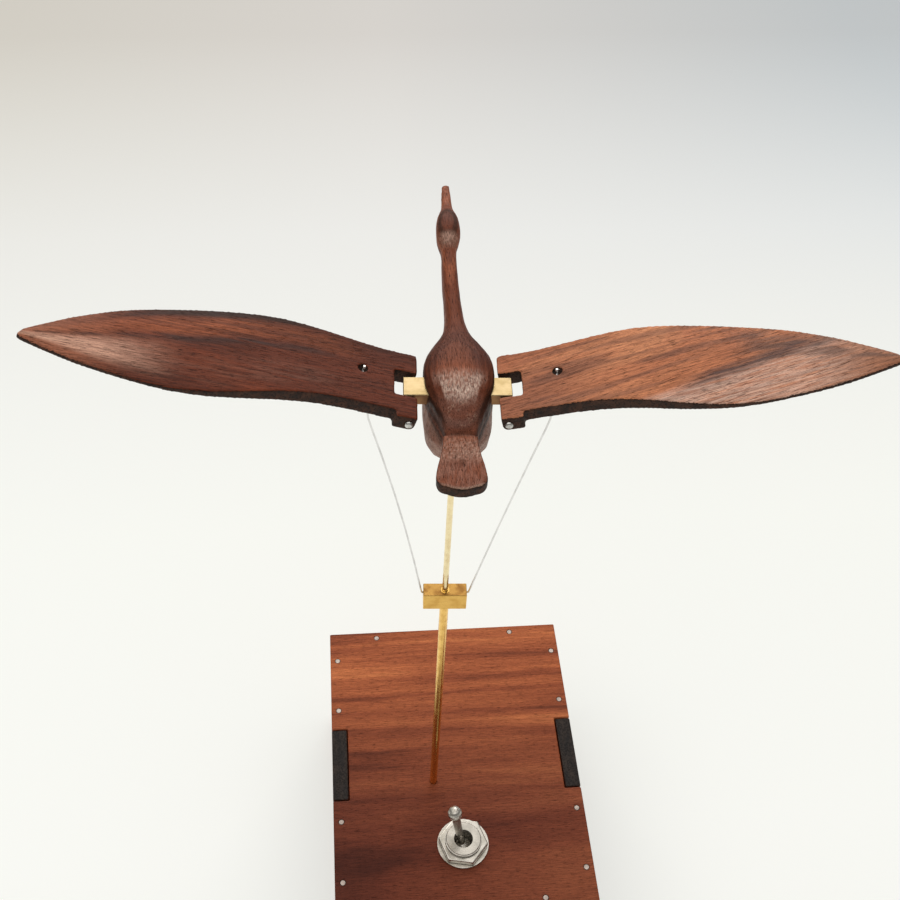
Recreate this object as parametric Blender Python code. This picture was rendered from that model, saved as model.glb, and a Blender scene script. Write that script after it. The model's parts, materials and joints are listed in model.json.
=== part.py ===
"""Wooden automaton: a carved bird on a brass rod that rises and falls over a motor box and flaps its wings.

Metres, +Z up. The origin is the centre of the box's underside, and the bird flies towards +Y.
A heart cam in the box lifts the rod. The wings are hinged on the ends of a brass bar in the body,
and two stiff wires hold them to a block on the fixed guide tube, so they beat as the body moves.
"""
import math

import bmesh
import bpy
from mathutils import Matrix, Vector

# Box of glued boards
BOX_WIDTH = 0.084
BOX_LENGTH = 0.106
BOX_HEIGHT = 0.058
BOARD = 0.0052
TENON_LENGTH = 0.026
EDGE_ROUND = 0.0004
SEAT_GAP = 0.0003

# Metal pins through the top board
PIN_DIAMETER = 0.002
PIN_LENGTH = 0.012
PIN_SIDE_NEAR = 0.0208
PIN_SIDE_FAR = 0.0413
PIN_END_OFFSET = 0.0248
PIN_FIT = 0.00006

# Screws of the underside
SCREW_DIAMETER = 0.002
SCREW_HEAD = 0.0038
SCREW_LENGTH = 0.014
SCREW_INSET = 0.016
DRIVE_SLOT = 0.0006
DRIVE_DEPTH = 0.0005

# Rod, guide tube and wire block
ROD_X = -0.008
ROD_Y = -0.008
ROD_DIAMETER = 0.0016
RUNNING_FIT = 0.00008
TUBE_WALL = 0.00035
TUBE_TAIL = 0.003
BLOCK_WIDTH = 0.0118
BLOCK_DEPTH = 0.0042
BLOCK_HEIGHT = 0.0062
BLOCK_TOP = 0.1105

# Bird
BIRD_TURN = math.radians(-3.0)
HINGE_HEIGHT = 0.187
HINGE_OFFSET = 0.011
BAR_WIDTH = 0.0057
BAR_HEIGHT = 0.0031
BAR_END = 0.0012
BAR_BACK = 0.0005
BAR_FIT = 0.0001
HINGE_PIN = 0.001
HINGE_HEAD = 0.0019
HINGE_HEAD_RISE = 0.0006
ROD_SEAT = 0.0018

# Carved body, heights above the hinge: place along the bird, top, widest line, bottom,
# half width at that line, half width of the belly
BODY_STATIONS = (
    (-0.0168, -0.0009, -0.0016, -0.0033, 0.0029, 0.0027),
    (-0.0146, 0.0000, -0.0013, -0.0062, 0.0035, 0.0044),
    (-0.0130, 0.0018, -0.0010, -0.0086, 0.0039, 0.0056),
    (-0.0100, 0.0034, -0.0006, -0.0130, 0.0048, 0.0074),
    (-0.0060, 0.0048, 0.0002, -0.0164, 0.0063, 0.0084),
    (-0.0010, 0.0056, 0.0012, -0.0184, 0.0079, 0.0084),
    (0.0040, 0.0057, 0.0013, -0.0180, 0.0081, 0.0082),
    (0.0080, 0.0054, 0.0012, -0.0152, 0.0076, 0.0074),
    (0.0120, 0.0049, 0.0010, -0.0106, 0.0057, 0.0055),
    (0.0156, 0.0045, 0.0008, -0.0060, 0.0036, 0.0036),
    (0.0200, 0.0044, 0.0012, -0.0022, 0.0025, 0.0024),
    (0.0260, 0.0047, 0.0021, -0.0004, 0.0021, 0.0020),
    (0.0320, 0.0053, 0.0029, 0.0006, 0.0020, 0.0020),
    (0.0380, 0.0060, 0.0039, 0.0017, 0.0019, 0.0018),
    (0.0430, 0.0066, 0.0045, 0.0024, 0.0019, 0.0018),
    (0.0465, 0.0078, 0.0051, 0.0024, 0.0028, 0.0027),
    (0.0505, 0.0084, 0.0055, 0.0026, 0.0031, 0.0028),
    (0.0550, 0.0081, 0.0055, 0.0031, 0.0027, 0.0023),
    (0.0585, 0.0068, 0.0052, 0.0037, 0.0018, 0.0016),
    (0.0605, 0.0061, 0.0050, 0.0039, 0.0014, 0.0013),
    (0.0650, 0.0057, 0.0049, 0.0041, 0.0012, 0.0012),
    (0.0706, 0.0051, 0.0046, 0.0042, 0.0010, 0.0009),
)
BODY_RINGS = 46
BODY_SIDES = 20
BELLY_FULLNESS = 2.6
BACK_OFFSET = 0.0004
BELLY_OFFSET = -0.0001
BELLY_MIX = (0.05, 0.55)
HEAD_LEAN = 0.0012
LEAN_START = 0.008
LEAN_END = 0.040
TAIL_ROOT = -0.0144
TAIL_END = -0.0279
TAIL_OFFSET = 0.0002
TAIL_ROOT_WIDTH = 0.0077
TAIL_WIDTH = 0.0111
TAIL_ROOT_TOP = 0.0006
TAIL_TOP = -0.0019
TAIL_THICKNESS = 0.0031
TAIL_CORNER = 0.0024
TAIL_BULGE = 0.0007

# Wings, in each wing's own axes: outwards from the hinge, forwards, and up from the hinge
WING_RISE_LEFT = math.radians(16.5)
WING_RISE_RIGHT = math.radians(12.5)
WING_THICKNESS = 0.0034
WING_TOP = 0.0021
KNUCKLE_INNER = 0.0015
KNUCKLE_OUTER = 0.0035
KNUCKLE_REAR = 0.0110
KNUCKLE_FRONT = 0.0092
KNUCKLE_DEPTH = 0.0005
KNUCKLE_ROUND = 0.0013
ROOT_CORNER = 0.001
LEADING_EDGE = (
    (-KNUCKLE_INNER, KNUCKLE_FRONT),
    (0.0060, 0.0093),
    (0.0120, 0.0099),
    (0.0200, 0.0110),
    (0.0280, 0.0119),
    (0.0340, 0.0118),
    (0.0420, 0.0107),
    (0.0520, 0.0084),
    (0.0620, 0.0050),
    (0.0720, -0.0003),
    (0.0775, -0.0042),
    (0.0800, -0.0061),
    (0.0820, -0.0078),
    (0.0827, -0.0092),
)
TRAILING_EDGE = (
    (-KNUCKLE_INNER, -0.0094),
    (0.0080, -0.0092),
    (0.0140, -0.0091),
    (0.0200, -0.0093),
    (0.0280, -0.0106),
    (0.0360, -0.0128),
    (0.0440, -0.0148),
    (0.0520, -0.0157),
    (0.0600, -0.0152),
    (0.0700, -0.0136),
    (0.0765, -0.0119),
    (0.0800, -0.0108),
    (0.0820, -0.0101),
    (0.0827, -0.0096),
)
WING_GROWTH_RIGHT = 0.0022
OUTER_START = 0.055
WING_RINGS = 26
ROOT_RINGS = 4
WING_TOP_POINTS = 9
WING_UNDER_POINTS = 6
WING_RIDGE = 0.6
RIDGE_THICKNESS = 0.0018
RIDGE_START = 0.030
RIDGE_END = 0.076
EDGE_THICKNESS = 0.001
CARVE_START = 0.020
CARVE_END = 0.058
CROWN_SHARE = 0.12
SLOT_REACH = 0.0038
SLOT_PLAY = 0.0009
WIRE_HOLE_OUT_LEFT = 0.0111
WIRE_HOLE_OUT_RIGHT = 0.0120
WIRE_HOLE_FORWARD = 0.0015
WIRE_HOLE = 0.0022
WIRE_HOLE_FLARE = 0.0023
WIRE_DIAMETER = 0.0005
WIRE_TOP = 0.0011
WIRE_HOOK = 0.0008
WIRE_BACK = 0.0004
WIRE_SET_IN = 0.0002
WIRE_KNEE_DROP = 0.011
WIRE_KNEE_IN_LEFT = 0.0012
WIRE_KNEE_IN_RIGHT = 0.0003
WIRE_BOW_LEFT = 0.0009
WIRE_BOW_RIGHT = 0.0003
WIRE_STEPS = (0.2, 0.4, 0.6, 0.8, 0.96)
WIRE_BEND_SHARE = 0.3
WIRE_FOOT_DROP = 0.0013
WIRE_FOOT_DEPTH = 0.0011
WIRE_FIT = 0.00015

# Heart cam and roller follower
CAM_LIFT = 0.010
CAM_THICKNESS = 0.004
CAM_LEAST_RADIUS = 0.0055
CAM_FLOOR_GAP = 0.0012
CAM_POINTS = 72
LIFT_AT_REST = 0.0021
ROLLER_DIAMETER = 0.007
ROLLER_WIDTH = 0.0042
ROLLER_PIN = 0.0015
CLEVIS_CHEEK = 0.002
CLEVIS_SIDE_GAP = 0.0005
CLEVIS_WIDTH = 0.008
CLEVIS_BRIDGE = 0.004
CLEVIS_DROP = 0.004
ROLLER_HEADROOM = 0.0005

# Gear motor, its block and its strap
SHAFT_DIAMETER = 0.003
SHAFT_FLAT = 0.0005
GEARBOX_WIDTH = 0.012
GEARBOX_HEIGHT = 0.010
GEARBOX_LENGTH = 0.0095
MOTOR_LENGTH = 0.015
MOTOR_ROUND = 0.0049
MOTOR_CAP = 0.0016
MOTOR_TAG_REACH = 0.0025
MOTOR_TAG_WIDTH = 0.0018
MOTOR_TAG_THICKNESS = 0.0004
MOTOR_TAG_SPACING = 0.0068
MOUNT_WIDTH = 0.026
MOUNT_LENGTH = 0.014
STRAP_THICKNESS = 0.0008
STRAP_WIDTH = 0.006
STRAP_SCREW_OFFSET = 0.0102
STRAP_SCREW_HEAD = 0.0036
STRAP_SCREW_HEAD_HEIGHT = 0.0014
STRAP_SCREW_LENGTH = 0.006

# Toggle switch
SWITCH_X = 0.0
SWITCH_Y = -0.031
SWITCH_TURN = math.radians(49.0)
BUSHING_DIAMETER = 0.0118
BUSHING_RISE = 0.0042
BUSHING_BORE = 0.0062
NUT_FLATS = 0.0142
NUT_HEIGHT = 0.0022
WASHER_DIAMETER = 0.0168
WASHER_THICKNESS = 0.0006
CASE_LENGTH = 0.025
CASE_WIDTH = 0.014
CASE_DEPTH = 0.0125
CASE_PLATE = 0.0012
LEVER_TILT = math.radians(12.5)
LEVER_PIVOT_DEPTH = 0.0015
LEVER_LENGTH = 0.01915
LEVER_PLAY = 0.0002
LEVER_WAIST = 0.0024
LEVER_NECK = 0.0028
LEVER_BALL = 0.0047
TERMINAL_WIDTH = 0.0045
TERMINAL_THICKNESS = 0.0008
TERMINAL_LENGTH = 0.007
TERMINAL_SPACING = 0.0085

# Battery holder and cells
CELL_DIAMETER = 0.0105
CELL_LENGTH = 0.0445
CELL_BUTTON = 0.0038
CELL_BUTTON_RISE = 0.0008
CELL_GAP = 0.0006
HOLDER_WALL = 0.0012
HOLDER_END_ROOM = 0.0015
HOLDER_SIDE_GAP = 0.0007
HOLDER_END_GAP = 0.01045
HOLDER_HEIGHT = 0.0105

# Lead wires
LEAD_DIAMETER = 0.0012
LEAD_CLEARANCE = 0.0013
LEAD_HEIGHT = 0.0145
LEAD_START = 0.004
LEAD_SWING = 0.0032
LEAD_SIDE_SPACE = 0.0148

# Places that follow from the sizes above
INNER_TOP = BOX_HEIGHT - BOARD
INNER_WIDTH = BOX_WIDTH - 2 * BOARD
SIDE_ROW = (BOX_WIDTH - BOARD) / 2
END_ROW = (BOX_LENGTH - BOARD) / 2
TUBE_BORE = ROD_DIAMETER + 2 * RUNNING_FIT
TUBE_DIAMETER = TUBE_BORE + 2 * TUBE_WALL
BLOCK_TOP_Z = BOX_HEIGHT + BLOCK_TOP
HINGE_Z = BOX_HEIGHT + HINGE_HEIGHT
BAR_LENGTH = 2 * (HINGE_OFFSET + BAR_END)
BAR_BOTTOM = -BAR_HEIGHT / 2
WING_BOTTOM = WING_TOP - WING_THICKNESS
WING_LEVEL = (WING_TOP + WING_BOTTOM) / 2
WING_TIP = LEADING_EDGE[-1][0]
ROLLER_REACH = CAM_LEAST_RADIUS + ROLLER_DIAMETER / 2
CAM_Z = BOARD + CAM_FLOOR_GAP + CAM_LEAST_RADIUS + CAM_LIFT
ROLLER_Z = CAM_Z + ROLLER_REACH + LIFT_AT_REST
CLEVIS_GAP = CAM_THICKNESS + 2 * CLEVIS_SIDE_GAP
CLEVIS_LENGTH = CLEVIS_GAP + 2 * CLEVIS_CHEEK
CLEVIS_TOP = ROLLER_Z + ROLLER_DIAMETER / 2 + ROLLER_HEADROOM + CLEVIS_BRIDGE
GEARBOX_FACE = ROD_Y + CLEVIS_LENGTH / 2 + CLEVIS_SIDE_GAP
MOTOR_END = GEARBOX_FACE + GEARBOX_LENGTH + MOTOR_LENGTH + MOTOR_CAP
NUT_BOTTOM = BOX_HEIGHT + WASHER_THICKNESS + 2 * PIN_FIT
BUSHING_TOP = BOX_HEIGHT + BUSHING_RISE
CASE_BOTTOM = INNER_TOP - SEAT_GAP - CASE_PLATE - CASE_DEPTH
HOLDER_ROOM_X = 2 * CELL_DIAMETER + 3 * CELL_GAP
HOLDER_ROOM_Y = CELL_LENGTH + CELL_BUTTON_RISE + 2 * HOLDER_END_ROOM
HOLDER_X = INNER_WIDTH / 2 - HOLDER_SIDE_GAP - HOLDER_WALL - HOLDER_ROOM_X / 2
HOLDER_Y = BOX_LENGTH / 2 - BOARD - HOLDER_END_GAP - HOLDER_WALL - HOLDER_ROOM_Y / 2


def smooth_step(value, low, high):
    """0 below low, 1 above high, with an S curve between."""
    t = min(max((value - low) / (high - low), 0.0), 1.0)
    return t * t * (3.0 - 2.0 * t)


def mix(a, b, share):
    return a + (b - a) * share


def curve_value(points, place, column=1):
    """Smooth curve through the rows of points, read at a place along their first column."""
    last = len(points) - 2
    i = 0
    while i < last and place > points[i + 1][0]:
        i += 1
    x0, x1 = points[i][0], points[i + 1][0]
    y0, y1 = points[i][column], points[i + 1][column]
    step = (y1 - y0) / (x1 - x0)
    before = points[i - 1] if i > 0 else None
    after = points[i + 2] if i < last else None
    slope0 = (y1 - before[column]) / (x1 - before[0]) if before else step
    slope1 = (after[column] - y0) / (after[0] - x0) if after else step
    t = (place - x0) / (x1 - x0)
    width = x1 - x0
    return (
        (1 + 2 * t) * (1 - t) ** 2 * y0
        + t * (1 - t) ** 2 * width * slope0
        + t * t * (3 - 2 * t) * y1
        + t * t * (t - 1) * width * slope1
    )


def material(name, colour, roughness, metallic=0.0):
    made = bpy.data.materials.new(name)
    made.use_nodes = True
    shader = made.node_tree.nodes["Principled BSDF"]
    shader.inputs["Base Color"].default_value = (*colour, 1.0)
    shader.inputs["Roughness"].default_value = roughness
    shader.inputs["Metallic"].default_value = metallic
    made.diffuse_color = (*colour, 1.0)
    return made


def add_object(name, mesh, parent, location, rotation, look):
    obj = bpy.data.objects.new(name, mesh)
    bpy.context.scene.collection.objects.link(obj)
    obj.parent = parent
    obj.location = location
    obj.rotation_euler = rotation
    if look:
        obj.data.materials.append(look)
    return obj


def place_mesh(name, bm, look, parent=None, location=(0, 0, 0), rotation=(0, 0, 0)):
    """Object made from a bmesh, shaded smooth between its sharp edges."""
    bmesh.ops.recalc_face_normals(bm, faces=bm.faces)
    mesh = bpy.data.meshes.new(name)
    bm.to_mesh(mesh)
    bm.free()
    mesh.shade_smooth()
    mesh.set_sharp_from_angle(angle=math.radians(35.0))
    return add_object(name, mesh, parent, location, rotation, look)


def place_empty(name, parent=None, location=(0, 0, 0), rotation=(0, 0, 0)):
    return add_object(name, None, parent, location, rotation, None)


def loft(rings, closed_path=False):
    """Skin over rings of equal point counts, with flat ends unless the path of rings closes."""
    bm = bmesh.new()
    rows = [[bm.verts.new(point) for point in ring] for ring in rings]
    pairs = list(zip(rows, rows[1:]))
    if closed_path:
        pairs.append((rows[-1], rows[0]))
    for low, high in pairs:
        for i in range(len(low)):
            j = (i + 1) % len(low)
            bm.faces.new((low[i], low[j], high[j], high[i]))
    if not closed_path:
        bm.faces.new(rows[0][::-1])
        bm.faces.new(rows[-1])
    return bm


def circle(radius, height, sides):
    return [
        (radius * math.cos(math.tau * i / sides), radius * math.sin(math.tau * i / sides), height)
        for i in range(sides)
    ]


def turned(profile, sides=24, hollow=False):
    """Turned piece about Z from (radius, height) pairs, bottom to top, or a closed profile if hollow."""
    return loft([circle(radius, height, sides) for radius, height in profile], hollow)


def rod_profile(radius, low, high, chamfer):
    inner = radius - chamfer
    return [(inner, low), (radius, low + chamfer), (radius, high - chamfer), (inner, high)]


def prism(outline, low, high, axis="Z"):
    """Straight extrusion of a flat outline. Axis X reads the outline as (y, z), and Y as (x, z)."""
    order = {"Z": lambda a, b, c: (a, b, c), "X": lambda a, b, c: (c, a, b), "Y": lambda a, b, c: (a, c, b)}
    return loft([[order[axis](a, b, end) for a, b in outline] for end in (low, high)])


def rectangle(x0, x1, y0, y1):
    return [(x0, y0), (x1, y0), (x1, y1), (x0, y1)]


def arc(centre, radius, start, end, steps):
    """Points on an arc, with angles in degrees."""
    angles = [math.radians(mix(start, end, i / steps)) for i in range(steps + 1)]
    return [(centre[0] + radius * math.cos(a), centre[1] + radius * math.sin(a)) for a in angles]


def box(x0, x1, y0, y1, z0, z1):
    return prism(rectangle(x0, x1, y0, y1), z0, z1)


def soften(obj, width=EDGE_ROUND, segments=2):
    """Rounds the sharp edges of a sawn or milled piece."""
    bevel = obj.modifiers.new("soft edges", "BEVEL")
    bevel.width = width
    bevel.segments = segments
    bevel.limit_method = "ANGLE"
    bevel.angle_limit = math.radians(50.0)
    return obj


def boolean(obj, tool, operation="DIFFERENCE"):
    """Cuts or joins with a hidden tool object."""
    tool.hide_render = True
    tool.display_type = "WIRE"
    step = obj.modifiers.new(tool.name, "BOOLEAN")
    step.operation = operation
    step.solver = "EXACT"
    step.object = tool
    return obj


def drill(obj, name, places, diameter, low, high, sides=12):
    """Upright round holes through the piece, at the given places."""
    bm = bmesh.new()
    for x, y in places:
        hole = turned([(diameter / 2, low), (diameter / 2, high)], sides)
        hole.transform(Matrix.Translation((x, y, 0)))
        mesh = bpy.data.meshes.new(name)
        hole.to_mesh(mesh)
        hole.free()
        bm.from_mesh(mesh)
        bpy.data.meshes.remove(mesh)
    return boolean(obj, place_mesh(name, bm, None, obj.parent))


def top_pin_places():
    """The pins of each side board and each end board, seen from above."""
    along = (-PIN_SIDE_FAR, -PIN_SIDE_NEAR, PIN_SIDE_NEAR, PIN_SIDE_FAR)
    sides = [(x, y) for x in (-SIDE_ROW, SIDE_ROW) for y in along]
    ends = [(x, y) for y in (-END_ROW, END_ROW) for x in (-PIN_END_OFFSET, PIN_END_OFFSET)]
    return sides, ends


def bottom_screw_places():
    inset = BOX_LENGTH / 2 - SCREW_INSET
    return [(x, y) for x in (-SIDE_ROW, SIDE_ROW) for y in (-inset, inset)]


def make_top_plate(wood):
    """Top board with a notch in each long edge for the tenon of the side board."""
    edge, end = BOX_WIDTH / 2, BOX_LENGTH / 2
    notch_floor = edge - BOARD - SEAT_GAP
    notch_half = TENON_LENGTH / 2 + SEAT_GAP
    right = [(edge, -end), (edge, -notch_half), (notch_floor, -notch_half)]
    right += [(notch_floor, notch_half), (edge, notch_half), (edge, end)]
    left = [(-x, y) for x, y in reversed(right)]
    plate = soften(place_mesh("top_plate", prism(right + left, INNER_TOP, BOX_HEIGHT), wood))
    sides, ends = top_pin_places()
    through = (INNER_TOP - EDGE_ROUND, BOX_HEIGHT + EDGE_ROUND)
    drill(plate, "top_pin_holes", sides + ends, PIN_DIAMETER + 2 * PIN_FIT, *through)
    drill(plate, "guide_tube_hole", [(ROD_X, ROD_Y)], TUBE_DIAMETER + 2 * PIN_FIT, *through, sides=20)
    drill(plate, "bushing_hole", [(SWITCH_X, SWITCH_Y)], BUSHING_DIAMETER + 2 * PIN_FIT, *through, sides=32)


def make_bottom_plate(wood):
    """Bottom board with countersunk screw holes."""
    edge, end = BOX_WIDTH / 2, BOX_LENGTH / 2
    plate = soften(place_mesh("bottom_plate", box(-edge, edge, -end, end, 0, BOARD), wood))
    places = bottom_screw_places()
    drill(plate, "screw_holes", places, SCREW_DIAMETER + 2 * PIN_FIT, -BOARD, 2 * BOARD)
    head_height = (SCREW_HEAD - SCREW_DIAMETER) / 2
    for number, (x, y) in enumerate(places, 1):
        wide = SCREW_HEAD / 2 + PIN_FIT
        profile = [(wide, -BOARD), (wide, SEAT_GAP), (wide - head_height, SEAT_GAP + head_height)]
        sink = place_mesh(f"countersink_{number}", turned(profile, 12), None, None, (x, y, 0))
        boolean(plate, sink)


def make_side_panel(name, side, wood):
    """Side board with one tenon that shows as dark end grain in the top."""
    end, half = BOX_LENGTH / 2, TENON_LENGTH / 2
    low, shoulder = BOARD + SEAT_GAP, INNER_TOP - SEAT_GAP
    outline = [(-end, low), (end, low), (end, shoulder), (half, shoulder), (half, BOX_HEIGHT)]
    outline += [(-half, BOX_HEIGHT), (-half, shoulder), (-end, shoulder)]
    inner, outer = sorted((side * (BOX_WIDTH / 2 - BOARD), side * BOX_WIDTH / 2))
    panel = soften(place_mesh(name, prism(outline, inner, outer, "X"), wood))
    pins = [place for place in top_pin_places()[0] if place[0] * side > 0]
    pin_floor = BOX_HEIGHT - PIN_LENGTH - SEAT_GAP
    drill(panel, f"{name}_pin_holes", pins, PIN_DIAMETER + 2 * PIN_FIT, pin_floor, INNER_TOP)
    screws = [place for place in bottom_screw_places() if place[0] * side > 0]
    drill(panel, f"{name}_screw_holes", screws, SCREW_DIAMETER + 2 * PIN_FIT, 0, SCREW_LENGTH + SEAT_GAP)


def make_end_panel(name, side, wood):
    """End board between the side boards."""
    edge = INNER_WIDTH / 2 - SEAT_GAP
    near, far = sorted((side * (BOX_LENGTH / 2 - BOARD), side * BOX_LENGTH / 2))
    board = box(-edge, edge, near, far, BOARD + SEAT_GAP, INNER_TOP - SEAT_GAP)
    panel = soften(place_mesh(name, board, wood))
    pins = [place for place in top_pin_places()[1] if place[1] * side > 0]
    pin_floor = BOX_HEIGHT - PIN_LENGTH - SEAT_GAP
    drill(panel, f"{name}_pin_holes", pins, PIN_DIAMETER + 2 * PIN_FIT, pin_floor, INNER_TOP)


def make_top_pins(steel):
    sides, ends = top_pin_places()
    profile = rod_profile(PIN_DIAMETER / 2, BOX_HEIGHT - PIN_LENGTH, BOX_HEIGHT, PIN_DIAMETER / 10)
    for number, (x, y) in enumerate(sides + ends, 1):
        place_mesh(f"top_pin_{number:02d}", turned(profile, 12), steel, None, (x, y, 0))


def make_bottom_screws(steel):
    """Countersunk wood screws with a straight slot."""
    head_height = (SCREW_HEAD - SCREW_DIAMETER) / 2
    shank = SCREW_DIAMETER / 2
    profile = [(SCREW_HEAD / 2, SEAT_GAP), (shank, SEAT_GAP + head_height)]
    profile += [(shank, SCREW_LENGTH - shank), (shank / 4, SCREW_LENGTH)]
    for number, (x, y) in enumerate(bottom_screw_places(), 1):
        screw = place_mesh(f"bottom_screw_{number}", turned(profile, 12), steel, None, (x, y, 0))
        half = SCREW_HEAD
        slot = box(-half, half, -DRIVE_SLOT / 2, DRIVE_SLOT / 2, -DRIVE_DEPTH, SEAT_GAP + DRIVE_DEPTH)
        boolean(screw, place_mesh(f"bottom_screw_slot_{number}", slot, None, None, (x, y, 0)))


def make_guide(brass, turn):
    """Fixed tube with the wire block at its top. The rod slides in its bore."""
    radius, bore = TUBE_DIAMETER / 2, TUBE_BORE / 2
    low, high = INNER_TOP - TUBE_TAIL, BLOCK_TOP_Z
    profile = [(bore, low), (radius, low), (radius, high), (bore, high)]
    place_mesh("guide_tube", turned(profile, 20, hollow=True), brass, turn)
    half_width, half_depth = BLOCK_WIDTH / 2, BLOCK_DEPTH / 2
    bottom = BLOCK_TOP_Z - BLOCK_HEIGHT
    solid = box(-half_width, half_width, -half_depth, half_depth, bottom, BLOCK_TOP_Z)
    block = soften(place_mesh("wire_block", solid, brass, turn), EDGE_ROUND / 3, 1)
    drill(block, "block_bore", [(0, 0)], TUBE_DIAMETER + 2 * PIN_FIT, bottom - BOARD, BLOCK_TOP_Z + BOARD, 20)
    radius = WIRE_DIAMETER / 2 + WIRE_FIT
    for side in (-1, 1):
        hole = turned([(radius, -WIRE_FOOT_DEPTH - WIRE_FIT), (radius, BLOCK_WIDTH)], 12)
        foot = (side * half_width, 0, BLOCK_TOP_Z - WIRE_FOOT_DROP)
        tool = place_mesh(f"wire_foot_hole_{side}", hole, None, turn, foot, (0, side * math.pi / 2, 0))
        boolean(block, tool)


def body_ring(place):
    """Section of the carved body: round over the back and fuller below. The head leans to the left."""
    columns = range(1, len(BODY_STATIONS[0]))
    top, widest, bottom, back, belly = (curve_value(BODY_STATIONS, place, column) for column in columns)
    power = 2 / BELLY_FULLNESS
    lean = HEAD_LEAN * smooth_step(place, LEAN_START, LEAN_END)
    ring = []
    for i in range(BODY_SIDES):
        angle = math.tau * i / BODY_SIDES
        across, up = math.sin(angle), math.cos(angle)
        if up >= 0:
            x, z = BACK_OFFSET + back * across, mix(widest, top, up)
        else:
            depth = (-up) ** power
            width = mix(back, belly, smooth_step(depth, *BELLY_MIX)) * abs(across) ** power
            x = mix(BACK_OFFSET, BELLY_OFFSET, depth) + math.copysign(width, across)
            z = mix(widest, bottom, depth)
        ring.append((x - lean, place, z))
    return ring


def make_tail():
    """Flat tail that flares to a rounded end and droops a little."""
    run = TAIL_ROOT - TAIL_END - TAIL_BULGE - TAIL_CORNER
    flare = (TAIL_WIDTH - TAIL_ROOT_WIDTH) / 2
    corner = (TAIL_WIDTH / 2 - TAIL_CORNER, TAIL_ROOT - run)
    half = [
        (TAIL_ROOT_WIDTH / 2 + flare * smooth_step(share, 0.1, 1.05), TAIL_ROOT - share * run)
        for share in (0.0, 0.2, 0.4, 0.55, 0.7, 0.85)
    ]
    half += arc(corner, TAIL_CORNER, 0, -90, 5)
    half += [(share * corner[0], TAIL_END + TAIL_BULGE * share * share) for share in (0.66, 0.33)]
    outline = half + [(0, TAIL_END)] + [(-x, y) for x, y in reversed(half)]
    droop = (TAIL_TOP - TAIL_ROOT_TOP) / (TAIL_END - TAIL_ROOT)
    rings = []
    for drop in (TAIL_THICKNESS, 0.0):
        level = TAIL_ROOT_TOP - drop
        rings.append([(x + TAIL_OFFSET, y, level + droop * (y - TAIL_ROOT)) for x, y in outline])
    return loft(rings)


def make_bird(wood, brass, steel, lift):
    """Carved body with the brass bar and the rod that carries it."""
    first, last = BODY_STATIONS[0][0], BODY_STATIONS[-1][0]
    places = [mix(first, last, i / (BODY_RINGS - 1)) for i in range(BODY_RINGS)]
    hinge = (0, 0, HINGE_Z)
    body = place_mesh("bird_body", loft([body_ring(place) for place in places]), wood, lift, hinge)
    tail = place_mesh("tail_blank", make_tail(), None, lift, hinge)
    boolean(body, soften(tail, EDGE_ROUND, 2), "UNION")
    rear, front = -BAR_BACK - BAR_WIDTH / 2, -BAR_BACK + BAR_WIDTH / 2
    low, high = BAR_BOTTOM - BAR_FIT, -BAR_BOTTOM + BAR_FIT
    slot = box(-BAR_LENGTH, BAR_LENGTH, rear - BAR_FIT, front + BAR_FIT, low, high)
    boolean(body, place_mesh("bar_slot", slot, None, lift, hinge))
    drill_low = HINGE_Z + 2 * min(station[3] for station in BODY_STATIONS)
    bore = turned([(ROD_DIAMETER / 2 + BAR_FIT, drill_low), (ROD_DIAMETER / 2 + BAR_FIT, HINGE_Z)], 16)
    boolean(body, place_mesh("rod_bore", bore, None, lift))

    bar = box(-BAR_LENGTH / 2, BAR_LENGTH / 2, rear, front, BAR_BOTTOM, -BAR_BOTTOM)
    bar = soften(place_mesh("cross_bar", bar, brass, lift, hinge), EDGE_ROUND / 3, 1)
    seat_radius = ROD_DIAMETER / 2 + PIN_FIT
    seat = turned([(seat_radius, -BAR_HEIGHT), (seat_radius, BAR_BOTTOM + ROD_SEAT)], 16)
    boolean(bar, place_mesh("rod_seat", seat, None, lift, hinge))
    for side in (-1, 1):
        radius = HINGE_PIN / 2 + PIN_FIT
        hole = turned([(radius, -BAR_WIDTH), (radius, BAR_WIDTH)], 16)
        place = (side * HINGE_OFFSET, 0, HINGE_Z)
        boolean(bar, place_mesh(f"bar_pin_hole_{side}", hole, None, lift, place, (math.pi / 2, 0, 0)))

    rod_foot = CLEVIS_TOP - CLEVIS_BRIDGE + SEAT_GAP
    rod_top = HINGE_Z + BAR_BOTTOM + ROD_SEAT - PIN_FIT
    profile = rod_profile(ROD_DIAMETER / 2, rod_foot, rod_top, ROD_DIAMETER / 10)
    place_mesh("lift_rod", turned(profile, 16), brass, lift)


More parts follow.
